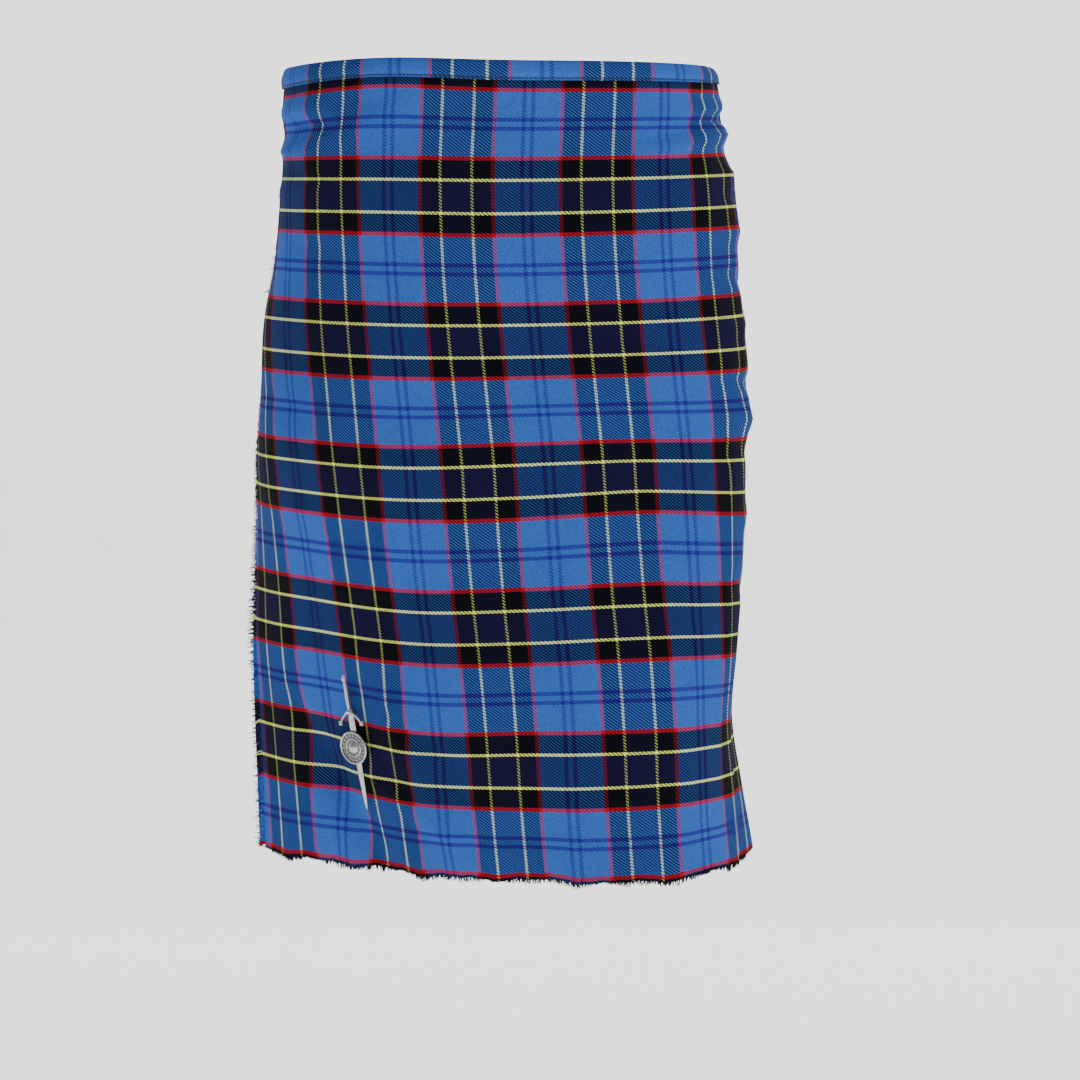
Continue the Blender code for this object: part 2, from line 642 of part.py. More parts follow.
def strap_set(row, leather, steel):
    """One strap, the leather tab that holds its buckle, the buckle, its prong and keeper."""
    strap = dict(zip(STRAP_COLUMNS, row))
    name, v, way = strap["name"], strap["v"], strap["way"]
    bar = strap["bar"]
    floor = BACK_FACE + strap["off"]         # the leather lies on the pleats
    half = STRAP_WIDTH / 2
    wrap = BAR_RADIUS + BAR_OFF
    bar_height = floor + LEATHER + wrap

    def outward_path(stops):
        path = []
        for u, n, width in stops:
            path.append(((u, n + LEATHER), (u, n), width))
        return path

    # the tab goes from its sewn end to the bar, round it, and back over itself
    back = bar + way * TAB_LENGTH
    fold_end = bar + way * TAB_RETURN
    upper = bar_height + wrap
    tab = [((back, floor), (back, floor + LEATHER), half - 1)]
    for u in np.linspace(back, bar, 4)[1:]:
        tab.append(((u, floor), (u, floor + LEATHER), half - 1))
    for turn in (45, 90, 135):
        a = math.radians(turn)
        du, dn = -way * math.sin(a), -math.cos(a)
        tab.append(((bar + du * (wrap + LEATHER), bar_height + dn * (wrap + LEATHER)),
                    (bar + du * wrap, bar_height + dn * wrap), half - 1))
    tab.append(((bar, upper + LEATHER), (bar, upper), half - 1))
    tab.append(((fold_end, upper + LEATHER / 2), (fold_end, floor + LEATHER + SEAM), half - 1))
    strip("buckle_tab_" + name, tab, v, leather)

    # the strap leaves the apron, passes under the buckle's front and over its bar
    over_tab = upper + LEATHER + SEAM
    front = bar - way * FRAME_LENGTH
    start_n = flare(strap["sewn"], v) + strap["off"] if way < 0 else floor
    stops = [(strap["sewn"], start_n, half)]
    if way < 0:
        edge_n = flare(APRON_EDGE, v) + strap["off"]
        stops += [(APRON_EDGE + 14, edge_n + 0.2, half), (APRON_EDGE - 2, edge_n + 0.4, half),
                  (APRON_EDGE - 14, edge_n, half)]
    stops += [(front - way * 2, floor + 0.6, half), (front + way * 4, floor + 1.4, half),
              (bar - way * 3, over_tab, half), (bar + way * 6, over_tab, half),
              (bar + way * (KEEPER_PLACE - KEEPER_WIDTH / 2 - 1), floor + LEATHER + 2.2, half),
              (bar + way * (KEEPER_PLACE + KEEPER_WIDTH / 2 + 1), floor + LEATHER + 1.6, half),
              (bar + way * (TIP_LENGTH - TIP_POINT), floor + LEATHER + SEAM + 0.2, half),
              (bar + way * TIP_LENGTH, floor + LEATHER + SEAM, 3.0)]
    strip("strap_" + name, outward_path(stops), v, leather)

    # the buckle's frame: its bar lies in the tab's fold, its front over the strap
    wide = FRAME_WIDTH / 2
    front_height = floor + 1.4 + LEATHER + SEAM + BAR_RADIUS + 0.4
    corner = 3.5
    outline = ((0, -wide), (0, wide), (corner, wide + 1), (FRAME_LENGTH - corner, wide + 1),
               (FRAME_LENGTH, wide - corner), (FRAME_LENGTH, -wide + corner),
               (FRAME_LENGTH - corner, -wide - 1), (corner, -wide - 1))
    points = []
    for along, aside in outline:
        height = bar_height + (front_height - bar_height) * along / FRAME_LENGTH
        points.append(strap_point(bar - way * along, v, aside, height))
    tube("buckle_frame_" + name, points, BAR_RADIUS, steel, sides=8, closed=True)
    tip = FRAME_LENGTH + 1.0
    prong_n = max(front_height + BAR_RADIUS, over_tab + LEATHER) + SEAM + 0.8
    prong = [strap_point(bar - way * along, v, 0.0, n) for along, n in
             ((-3.0, over_tab + LEATHER + 1.1), (4.0, over_tab + LEATHER + 1.3), (tip, prong_n))]
    tube("buckle_prong_" + name, prong, 0.8, steel)

    # the keeper: a leather band round the strap, on the tab
    place = bar + way * KEEPER_PLACE
    low, high = floor + LEATHER + SEAM, floor + 2 * LEATHER + 2.2 + 2 * SEAM
    keeper(name, place, v, low, high, half + 1.0, leather)


def keeper(name, place, v, low, high, half, leather):
    """A closed loop of leather, open along u."""
    thick = 1.2
    shape = bmesh.new()
    rings = []
    for u in (place - KEEPER_WIDTH / 2, place + KEEPER_WIDTH / 2):
        wide = half + thick
        outer = ((-wide, high + thick), (wide, high + thick), (wide, low), (-wide, low))
        inner = ((-half, high), (half, high), (half, low), (-half, low))
        rings.append([[shape.verts.new(strap_point(u, v, aside, n)) for aside, n in loop]
                      for loop in (outer, inner)])
    (outer_a, inner_a), (outer_b, inner_b) = rings
    for k in range(3):
        shape.faces.new((outer_a[k - 1], outer_a[k], outer_b[k], outer_b[k - 1]))
        shape.faces.new((inner_a[k - 1], inner_b[k - 1], inner_b[k], inner_a[k]))
        shape.faces.new((outer_a[k - 1], inner_a[k - 1], inner_a[k], outer_a[k]))
        shape.faces.new((outer_b[k - 1], outer_b[k], inner_b[k], inner_b[k - 1]))
    for k in (2, 3):
        shape.faces.new((outer_a[k], inner_a[k], inner_b[k], outer_b[k]))
    add_object("strap_keeper_" + name, shape, leather)


# ---------------------------------------------------------------- sword shaped pin
class PinFrame:
    """Axes of the pin: along the sword, across it, and out from the cloth, in metres."""

    def __init__(self):
        top = cloth_point(*PIN_TOP, PIN_STANDOFF + flare(*PIN_TOP))
        tip = cloth_point(*PIN_TIP, PIN_STANDOFF + flare(*PIN_TIP))
        middle = [(a + b) / 2 for a, b in zip(PIN_TOP, PIN_TIP)]
        out = section(middle[1]).frame(middle[0])[1]
        self.origin = top
        self.length = np.linalg.norm(tip - top)
        self.along = (tip - top) / self.length
        out = np.array((out[0], out[1], 0.0))
        out -= self.along * np.dot(out, self.along)
        self.out = out / np.linalg.norm(out)
        self.across = np.cross(self.out, self.along)

    def point(self, along, across, out):
        return self.origin + MM * (self.along * along + self.across * across + self.out * out)


def sword(pin, silver):
    """The sword: its outline, thickest along the middle."""
    shape = bmesh.new()
    scale = pin.length / MM / 100.0
    rings = []
    for along, half in SWORD_OUTLINE:
        along *= scale
        edge = SWORD_THICKNESS * 0.5
        rings.append([shape.verts.new(pin.point(along, a, o)) for a, o in
                      ((-half, 0), (half, 0), (half, edge), (0, SWORD_THICKNESS), (-half, edge))])
    tip = shape.verts.new(pin.point(100.0 * scale, 0, 0.6))
    for a, b in zip(rings, rings[1:]):
        for k in range(5):
            shape.faces.new((a[k], a[(k + 1) % 5], b[(k + 1) % 5], b[k]))
    shape.faces.new(rings[0])
    for k in range(5):
        shape.faces.new((rings[-1][k], rings[-1][(k + 1) % 5], tip))
    add_object("pin_sword", shape, silver)


def guard(pin, silver):
    """The guard's arms: a rod across the blade, drooping to both sides."""
    out = SWORD_THICKNESS + SEAM + GUARD_RADIUS
    tube("pin_guard", [pin.point(along, across, out) for along, across in GUARD_PATH],
         GUARD_RADIUS, silver)


def targe(pin, silver):
    """The small round shield on the blade: a turned form."""
    shape = bmesh.new()
    base = SWORD_THICKNESS + SEAM
    rings = []
    for radius, height in TARGE_PROFILE:
        ring = []
        for k in range(TARGE_SIDES):
            a = 2 * math.pi * k / TARGE_SIDES
            ring.append(shape.verts.new(pin.point(TARGE_PLACE + radius * math.cos(a),
                                                  radius * math.sin(a), base + height)))
        rings.append(ring)
    for a, b in zip(rings, rings[1:]):
        for k in range(TARGE_SIDES):
            shape.faces.new((a[k], a[(k + 1) % TARGE_SIDES], b[(k + 1) % TARGE_SIDES], b[k]))
    shape.faces.new(rings[0])
    shape.faces.new(rings[-1])
    add_object("pin_targe", shape, silver)


def pin_wire(pin, silver):
    """The wire that passes through the cloth, from its hinge to its catch."""
    start, end = PIN_WIRE_ENDS
    high, low = -SEAM - 0.2, -PIN_WIRE_DEPTH
    points = [pin.point(along, 0, out) for along, out in
              ((start, high), (start, low + 0.4), (start + 2, low), (end - 2, low),
               (end, low + 0.4), (end, high))]
    tube("pin_wire", points, PIN_WIRE, silver)


def main():
    fresh_scene()
    tartan = material("tartan", (0.035, 0.09, 0.24), 0.9)
    leather = material("black_leather", (0.012, 0.011, 0.010), 0.45)
    steel = material("nickel", (0.60, 0.60, 0.58), 0.25, 1.0)
    silver = material("silver", (0.62, 0.62, 0.60), 0.30, 1.0)

    cloth_piece("over_apron", over_apron_chain, tartan)
    cloth_piece("pleats_left", pleats_chain(1, SPLIT), tartan)
    cloth_piece("pleats_right", pleats_chain(SPLIT + 1, PLEATS), tartan)
    cloth_piece("under_apron", under_apron_chain, tartan)
    outer_band(tartan)
    under_band(tartan)
    fringe(tartan)
    for row in STRAPS:
        strap_set(row, leather, steel)
    pin = PinFrame()
    sword(pin, silver)
    guard(pin, silver)
    targe(pin, silver)
    pin_wire(pin, silver)


if __name__ == "__main__":
    main()
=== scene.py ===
"""Looks of a worn tartan kilt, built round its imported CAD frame.

The cloth is made again, finer than the CAD's, from the same sizes. A point of it is given
by three numbers, in millimetres:
  u  along the cloth's width, from the warp line at the middle of the front, + to +X,
  v  down the cloth, from the top of the waistband,
  n  out of the outer face of the over apron.
The tartan is painted from the cloth's own threads: each vertex carries, as its UV, the
place in the weave (warp, weft) that it has.
"""
import functools
import math
import random

import bmesh
import bpy
import numpy as np
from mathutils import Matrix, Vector
from mathutils.bvhtree import BVHTree


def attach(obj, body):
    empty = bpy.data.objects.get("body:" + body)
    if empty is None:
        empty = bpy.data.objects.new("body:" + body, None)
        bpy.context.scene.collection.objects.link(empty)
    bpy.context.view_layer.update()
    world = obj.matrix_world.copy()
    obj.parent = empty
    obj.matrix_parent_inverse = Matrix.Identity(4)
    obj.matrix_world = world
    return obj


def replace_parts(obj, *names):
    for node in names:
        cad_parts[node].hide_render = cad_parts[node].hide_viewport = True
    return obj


MM = 0.001

# ---- sizes, as in the CAD, in mm
LENGTH = 609.0  # top of the waistband to the hem: 24 inches
BAND_HEIGHT = 15.0  # waistband
CLOTH = 1.0  # thickness of the cloth
PITCH = 1.4  # from one layer of a pleat to the next
TURN = 1.2  # cloth round the inside of a fold
PLEATS = 22  # knife pleats round the back
SPLIT = 11  # the pleats are made in two lengths, parted inside this one
BACK_FACE = -1.6  # outer face of the pleats
UNDER_FACE = -4.4  # outer face of the under apron at the wearer's right
UNDER_DEEP = -14.2  # and at the wearer's left, inside the first pleats
STACK_DEPTH = -11.0  # inner face of the pleats' layers, all round the back
STACKS = {-2: -3.8, -1: -6.6, 0: -9.4}  # and under the first edges, where they build up
CLOTH_TOP = 1.6  # v where the cloth starts, under the fold of the binding
APRON_EDGE = -266.0  # u of the over apron's fringed edge
UNDER_START = -230.0  # u where the last pleat turns into the under apron
CREASE_TOP = 232.0  # u of the over apron's creased edge, at the waistband
CREASE_HEM = 172.0  # and at the hem
PLEAT_LIFT = 3.0  # how far the pleats' edges stand off at the hem
FELL = 200.0  # v down to which the pleats are stitched
UNDER_SHORT = 12.0  # the under apron stops this far before the over apron's crease
UNDER_SINK = (-215.0, 90.0)  # u between which it passes from UNDER_FACE to UNDER_DEEP

# One row for each level of the worn kilt: v, x and y of the widest point at the wearer's
# right, of the foremost point and of the widest point at the wearer's left, y of the back,
# the shape of the right and left quarters at the front (2 is an ellipse, more is squarer,
# less is straighter), and x of the middle warp.
LEVELS = (
    (0, -162, 0, 2, -118, 162, -2, 108, 2.1, 2.6, -4),
    (20, -165, 0, 2, -118, 168, -2, 110, 2.1, 2.6, -4),
    (50, -167, 0, 2, -119, 173, -4, 114, 2.1, 2.6, -5),
    (75, -168, 0, 3, -121, 174, -7, 119, 2.1, 2.6, -6),
    (100, -170, 0, 4, -123, 182, -10, 124, 2.1, 2.6, -6),
    (150, -174, 2, 6, -127, 184, -16, 133, 2.1, 2.6, -4),
    (200, -182, 4, 9, -130, 188, -24, 138, 2.1, 2.7, 0),
    (250, -185, 5, 14, -133, 192, -32, 141, 2.05, 2.8, 5),
    (300, -189, 6, 22, -137, 189, -38, 143, 2.0, 3.0, 10),
    (350, -191, 22, 34, -142, 187, -46, 145, 1.9, 3.1, 13),
    (400, -196, 42, 48, -148, 184, -54, 147, 1.8, 3.1, 17),
    (450, -198, 48, 60, -154, 180, -60, 149, 1.72, 3.0, 22),
    (500, -197, 53, 70, -160, 176, -60, 151, 1.65, 2.8, 26),
    (550, -196, 50, 76, -164, 183, -54, 153, 1.52, 2.5, 29),
    (609, -195, 44, 80, -167, 194, -44, 155, 1.4, 2.2, 34),
)
BACK_ROUND = 2.0

# How far the weft lines rise, for each level (v first): at the wearer's right side, right
# front, middle, left front and left side.
RISE_PLACES = (-200.0, -80.0, 0.0, 100.0, 200.0)
RISES = (
    (0, -3, 2, 0, -1, -3),
    (22, -4, 3, 0, 0, 0),
    (72, 0, 1, 0, 1, 3),
    (130, 1, 0, -1, 1, 4),
    (180, 1, -1, -1, 1, 4),
    (235, 1, -1, 0, 2, 3),
    (285, 1, -1, 2, 4, 2),
    (340, 2, -1, 2, 7, 1),
    (390, 1, -3, 1, 5, 0),
    (448, 1, -3, 1, 5, 1),
    (500, 2, -4, 1, 3, 2),
    (555, -1, -4, -1, 2, 3),
    (609, -5, -4, 0, 1, 9),
)

# How far the over apron stands off the pleats along its fringed edge, at each level, and
# how near to the edge that begins and is complete.
APRON_FLARE = ((0, 3.0), (20, 3.0), (48, 1.0), (140, 0.8), (200, 2), (300, 1), (400, 2),
               (450, 5), (609, 7))
FLARE_STARTS = -180.0
FLARE_FULL = -228.0
APRON_SAG = ((330, 0), (430, 4), (609, 9))  # how far outward that edge sags

# Soft folds pressed into the cloth: from (u, v) to (u, v), how far the cloth stands out
# (+) or in (-), and the width of the fold.
FOLDS = (
    (-215, 46, -120, 50, -4, 14),  # the strap's pull at the wearer's right hip
    (-215, 30, -130, 32, 3, 14),
    (150, 44, 330, 44, -4, 14),  # the strap's pull at the wearer's left hip
    (-230, 480, -120, 640, -9, 34),  # the apron's lower corner swings back
    (-150, 430, -40, 640, 6, 40),
    (70, 250, 130, 470, -4, 36),  # between the thighs
)


# ---- sizes of the looks, in mm
SETT = 105.0  # the check repeats after this along the cloth
SETT_DOWN = 106.5  # and after this down it
WEFT_START = 22.0  # v of the first red weft
TWILL_ACROSS = 3.2  # four warp threads
TWILL_DOWN = 2.35  # four wefts
STRIPES = (  # (starts, yarn), from a red; warp and weft have the same
    (0, "red"), (1.4, "blue"), (20.4, "royal"), (23.0, "blue"), (27.0, "royal"),
    (29.6, "blue"), (48.6, "red"), (51.4, "black"), (64.4, "yellow"), (66.7, "navy"),
    (88.3, "yellow"), (90.6, "black"), (103.6, "red"))
YARNS = {  # linear colour, how much it covers as weft, and gives way as warp
    "red": (0.36, 0.006, 0.015, 0.55, 0.0),
    "blue": (0.029, 0.112, 0.425, 0.0, 0.0),
    "royal": (0.022, 0.014, 0.250, 0.3, 0.0),
    "black": (0.0028, 0.0032, 0.0068, 0.0, 0.0),
    "navy": (0.0095, 0.0075, 0.050, 0.0, 0.0),
    "yellow": (0.84, 0.92, 0.17, 0.22, 0.30),
}
WEFT_SHOWS = (-0.48, 0.16)  # the twill's wave passes from warp to weft between these
DARK_TO_LIGHT = (0.05, 0.40)  # lightness of the dark and the light yarns
FRINGE_DARK = (0.02, 0.03, 0.06, 1)
ROW_STEP = 5.0  # mesh of the cloth, down
COLUMN_STEP = 5.0  # and across
UNDER_COUNT = 48  # columns of the under apron
PLEAT_SETT = 26.4  # cloth between two pleats' edges, beside a whole sett turned under
FIRST_PLEAT_MIDDLE = 61.8  # warp place in the sett at the middle of the first pleat
BAND_SLIP = ((-300, 2.5), (-100, 2.5), (47, 13.5), (700, 13.5))  # band's warp beside u
HEM_WAVE = 1.1  # how far the cut hem wanders up and down
HEM_WAVE_FROM = 560.0  # from this v down
STITCH = 3.4  # length of a machine stitch and its gap
THREAD = 0.42  # radius of the sewing thread

# Finer folds than the CAD's, in the same terms.
FINE_FOLDS = (
    (-232, 52, -140, 56, -3.4, 9), (-236, 66, -150, 68, 3.0, 9), (-225, 18, -150, 21, -2.0, 8),
    (-235, 34, -150, 38, 2.2, 9), (-210, 80, -120, 94, -2.2, 10), (-150, 66, -60, 40, 1.2, 16),
    (-230, 100, -170, 98, 1.6, 10), (-190, 130, -110, 150, -1.2, 16),
    (165, 57, 300, 55, 2.4, 12), (146, 71, 250, 67, -2.4, 12), (170, 100, 250, 112, -2.6, 14),
    (110, 54, 205, 38, -1.6, 8), (180, 84, 250, 90, 2.4, 10), (130, 28, 240, 24, -1.8, 8),
    (136, 53, 236, 44, -3.6, 9), (140, 40, 238, 34, 2.0, 8), (118, 65, 215, 58, 1.8, 9),
    (92, 61, 176, 53, -1.8, 5), (92, 70, 176, 63, 1.8, 6),
    (-222, 43, -118, 50, -2.6, 8), (-130, 62, -50, 28, 1.6, 20), (-128, 36, -60, 22, -1.0, 14),
    (170, 135, 260, 130, 2.2, 12), (165, 160, 262, 176, -2.6, 13), (180, 205, 262, 200, 2.0, 12),
    (168, 240, 258, 250, -4.6, 15), (172, 268, 256, 276, 4.0, 16),
    (150, 292, 186, 300, -2.4, 14), (170, 290, 250, 300, -2.0, 15), (175, 350, 245, 340, 2.0, 15),
    (160, 390, 240, 402, -1.8, 16), (60, 204, 130, 214, -1.8, 10),
    (-150, 470, -60, 530, -2.5, 12), (-175, 520, -70, 585, 2.4, 14),
    (-105, 500, -30, 640, -3.0, 26),
    (-235, 250, -150, 270, -1.6, 18), (-240, 330, -140, 352, 1.6, 20),
    (-20, 120, -40, 380, 1.6, 60), (60, 60, 90, 230, 1.6, 50), (-110, 90, -100, 300, -1.8, 46),
    (120, 430, 150, 620, -2.4, 26), (20, 480, 30, 640, 2.6, 40), (90, 500, 100, 640, -2.0, 30),
    (330, 120, 350, 330, -2.4, 44), (430, 160, 420, 460, 2.4, 50), (520, 90, 505, 320, -2.2, 40),
    (610, 200, 590, 480, 2.0, 46), (300, 380, 316, 640, 2.6, 34), (470, 420, 480, 650, -3.0, 40),
    (560, 440, 548, 650, 2.8, 36), (380, 440, 372, 650, -2.6, 34), (255, 90, 300, 92, -1.8, 12),
    (590, 60, 655, 52, -2.4, 13), (585, 138, 650, 130, -2.2, 14), (590, 118, 660, 112, 1.8, 12),
)


# ---- the worn form
def smooth(knots, values, x):
    """Values at x on a smooth curve through the knots. x is a number or an array."""
    knots, values = np.asarray(knots, dtype=float), np.asarray(values, dtype=float)
    x = np.clip(x, knots[0], knots[-1])
    i = np.clip(np.searchsorted(knots, x) - 1, 0, len(knots) - 2)
    slopes = np.gradient(values, knots, axis=0)
    gap = knots[i + 1] - knots[i]
    t = (x - knots[i]) / gap
    return ((2 * t**3 - 3 * t**2 + 1) * values[i] + (t**3 - 2 * t**2 + t) * gap * slopes[i]
            + (3 * t**2 - 2 * t**3) * values[i + 1] + (t**3 - t**2) * gap * slopes[i + 1])


@functools.lru_cache(maxsize=None)
def columns_at(table, v):
    """The table's columns after the first, at v, on a smooth curve through its rows."""
    rows = np.array(table, dtype=float)
    return [float(smooth(rows[:, 0], rows[:, k], v)) for k in range(1, rows.shape[1])]


def between(table, place):
    """The second column of a table, at a place in its first."""
    return float(np.interp(place, *zip(*table)))


def quarter(start, end, about, exponent, steps=60):
    """A quarter of the section, from start to end, square to the axes at both."""
    angle = np.linspace(0, math.pi / 2, steps, endpoint=False)
    across = np.cos(angle) ** (2 / exponent)
    along = np.sin(angle) ** (2 / exponent)
    start, end, about = (np.array(p, dtype=float) for p in (start, end, about))
    return about + np.outer(across, start - about) + np.outer(along, end - about)


class Section:
    """The kilt's outline at one level, measured along its length from the middle warp."""

    def __init__(self, v):
        (right_x, right_y, front_x, front_y, left_x, left_y, back_y, right_round, left_round,
         grain_x) = columns_at(LEVELS, v)
        back_x = (left_x + right_x) / 2
        front, back = (front_x, front_y), (back_x, back_y)
        left, right = (left_x, left_y), (right_x, right_y)
        loop = np.vstack((quarter(front, left, (front_x, left_y), left_round),
                          quarter(left, back, (back_x, left_y), BACK_ROUND),
                          quarter(back, right, (back_x, right_y), BACK_ROUND),
                          quarter(right, front, (front_x, right_y), right_round)))
        self.loop = np.vstack((loop, loop[:1]))
        steps = np.linalg.norm(np.diff(self.loop, axis=0), axis=1)
        self.run = np.concatenate(([0.0], np.cumsum(steps)))
        self.girth = self.run[-1]
        front_part = self.loop[:, 1] < min(left_y, right_y)
        order = np.argsort(self.loop[front_part, 0])
        run = self.run[front_part]
        run = np.where(run > self.girth / 2, run - self.girth, run)
        self.start = np.interp(grain_x, self.loop[front_part, 0][order], run[order])

    def at(self, u):
        place = (np.asarray(u, dtype=float) + self.start) % self.girth
        return np.stack([np.interp(place, self.run, self.loop[:, i]) for i in (0, 1)], axis=-1)

    def outward(self, u, reach=4.0):
        """The direction straight out of the cloth at u."""
        u = np.asarray(u, dtype=float)
        along = self.at(u + reach) - self.at(u - reach)
        along = along / np.linalg.norm(along, axis=-1, keepdims=True)
        return np.stack((along[..., 1], -along[..., 0]), axis=-1)


SECTIONS = {}


def section(v):
    """The section at v, to the nearest half millimetre."""
    key = round(2 * float(v)) / 2
    if key not in SECTIONS:
        SECTIONS[key] = Section(key)
    return SECTIONS[key]


def wrapped(u, v):
    """u counted both ways from the front's middle."""
    half = section(v).girth / 2
    return (np.asarray(u, dtype=float) + half) % (2 * half) - half


def fold_height(u, v):
    """How far the folds push the cloth out at (u, v)."""
    u = np.asarray(u, dtype=float)[..., None]
    u0, v0, u1, v1, height, width = np.array(FOLDS + FINE_FOLDS, dtype=float).T
    length = np.hypot(u1 - u0, v1 - v0)
    along_u, along_v = (u1 - u0) / length, (v1 - v0) / length
    reach = ((u - u0) * along_u + (v - v0) * along_v) / length
    aside = (u - u0) * along_v - (v - v0) * along_u
    fade = np.maximum(0.0, 1 - (2 * reach - 1) ** 2)
    return (height * fade * np.exp(-(aside / (0.5 * width)) ** 2)).sum(axis=-1)


def rise(u, v):
    """How far the weft line at v is lifted at u: none at the back."""
    half = section(v).girth / 2
    heights = (0.0, *columns_at(RISES, v), 0.0)
    lift = smooth((-half, *RISE_PLACES, half), heights, wrapped(u, v))
    low = max(0.0, (v - HEM_WAVE_FROM) / (LENGTH - HEM_WAVE_FROM)) ** 2
    if low:
        u = np.asarray(u, dtype=float)
        lift = lift + HEM_WAVE * low * (np.sin(u / 11.0 + 2.0) + 0.6 * np.sin(u / 5.3)
                                        + 0.35 * np.sin(u / 2.1))
    return lift


def flare(u, v):
    """How far the over apron stands off the pleats near its fringed edge."""
    near = np.clip((np.asarray(u, dtype=float) - FLARE_STARTS) / (FLARE_FULL - FLARE_STARTS), 0, 1)
    return columns_at(APRON_FLARE, v)[0] * near * near * (3 - 2 * near)


def cloth_points(u, v, n):
    """Points n out of the outer face, at arrays u and n on one level v, in metres."""
    u, n = np.broadcast_arrays(np.asarray(u, dtype=float), np.asarray(n, dtype=float))
    level = section(v)
    place = level.at(u) + level.outward(u) * (n + fold_height(u, v))[..., None]
    z = BAND_HEIGHT / 2 - v + rise(u, v)
    return np.concatenate((place, z[..., None]), axis=-1) * MM


def cloth_point(u, v, n):
    return Vector(cloth_points([u], v, [n])[0])


def crease(v):
    """u of the over apron's creased edge."""
    return CREASE_TOP + (CREASE_HEM - CREASE_TOP) * v / LENGTH


def reveal(v):
    """Width that shows of each pleat."""
    return (section(v).girth + UNDER_START - crease(v)) / PLEATS


def station(i, v):
    """u of the i-th pleat's folded edge. The over apron's crease is edge 0."""
    return crease(v) + i * reveal(v)


# ---- yarns and finishes
class Nodes:
    """Builds a material's node tree."""

    def __init__(self, name):
        self.material = bpy.data.materials.new(name)
        self.material.use_nodes = True
        self.tree = self.material.node_tree
        self.shader = self.tree.nodes["Principled BSDF"]

    def feed(self, socket, value):
        if isinstance(value, (int, float, tuple)):
            socket.default_value = value
        else:
            self.tree.links.new(value, socket)

    def set(self, name, value):
        """Feeds one of the shader's own sockets."""
        self.feed(self.shader.inputs[name], value)

    def add(self, kind, sockets=None, **settings):
        """A node; sockets holds what goes into its inputs, by number or name."""
        node = self.tree.nodes.new(kind)
        for name, value in settings.items():
            setattr(node, name, value)
        for key, value in (sockets or {}).items():
            self.feed(node.inputs[key], value)
        return node.outputs

    def math(self, operation, *values):
        return self.add("ShaderNodeMath", dict(enumerate(values)), operation=operation)[0]

    def spread(self, *values):
        """Map range: the value, from low and high, to low and high (0 and 1 if not given)."""
        return self.add("ShaderNodeMapRange", dict(enumerate(values)), clamp=True)[0]

    def mix(self, factor, one, two, blend="MIX"):
        return self.add("ShaderNodeMix", {0: factor, 6: one, 7: two}, data_type="RGBA",
                        blend_type=blend)[2]

    def scaled(self, colour, factor):
        grey = self.add("ShaderNodeCombineColor", {k: factor for k in range(3)})
        return self.mix(1.0, colour, grey[0], "MULTIPLY")

    def noise(self, scale, detail=2.0):
        place = self.add("ShaderNodeTexCoord")["Object"]
        return self.add("ShaderNodeTexNoise",
                        {"Vector": place, "Scale": scale, "Detail": detail})[0]

    def weave(self):
        """The two parts of the mesh's place in the weave, in metres."""
        place = self.add("ShaderNodeUVMap", uv_map="weave")[0]
        return self.add("ShaderNodeSeparateXYZ", {0: place})[:2]

    def bump(self, height, strength, distance):
        self.set("Normal", self.add("ShaderNodeBump", {"Strength": strength, "Height": height,
                                                       "Distance": distance})[0])


def stripes(nodes, place, cover):
    """Yarn colour at a place in the sett, from 0 to 1, and the yarn's value at cover."""
    outputs = nodes.add("ShaderNodeValToRGB", {0: place})
    ramp = outputs[0].node.color_ramp
    ramp.interpolation = "CONSTANT"
    elements = ramp.elements
    while len(elements) > 1:
        elements.remove(elements[-1])
    for k, (starts, yarn) in enumerate(STRIPES):
        element = elements[0] if k == 0 else elements.new(starts / SETT)
        element.position = starts / SETT
        element.color = (*YARNS[yarn][:3], YARNS[yarn][cover])
    return outputs


def lightness(nodes, colour):
    red, green, blue = nodes.add("ShaderNodeSeparateColor", {0: colour})[:3]
    return nodes.math("MAXIMUM", nodes.math("MAXIMUM", red, green), blue)


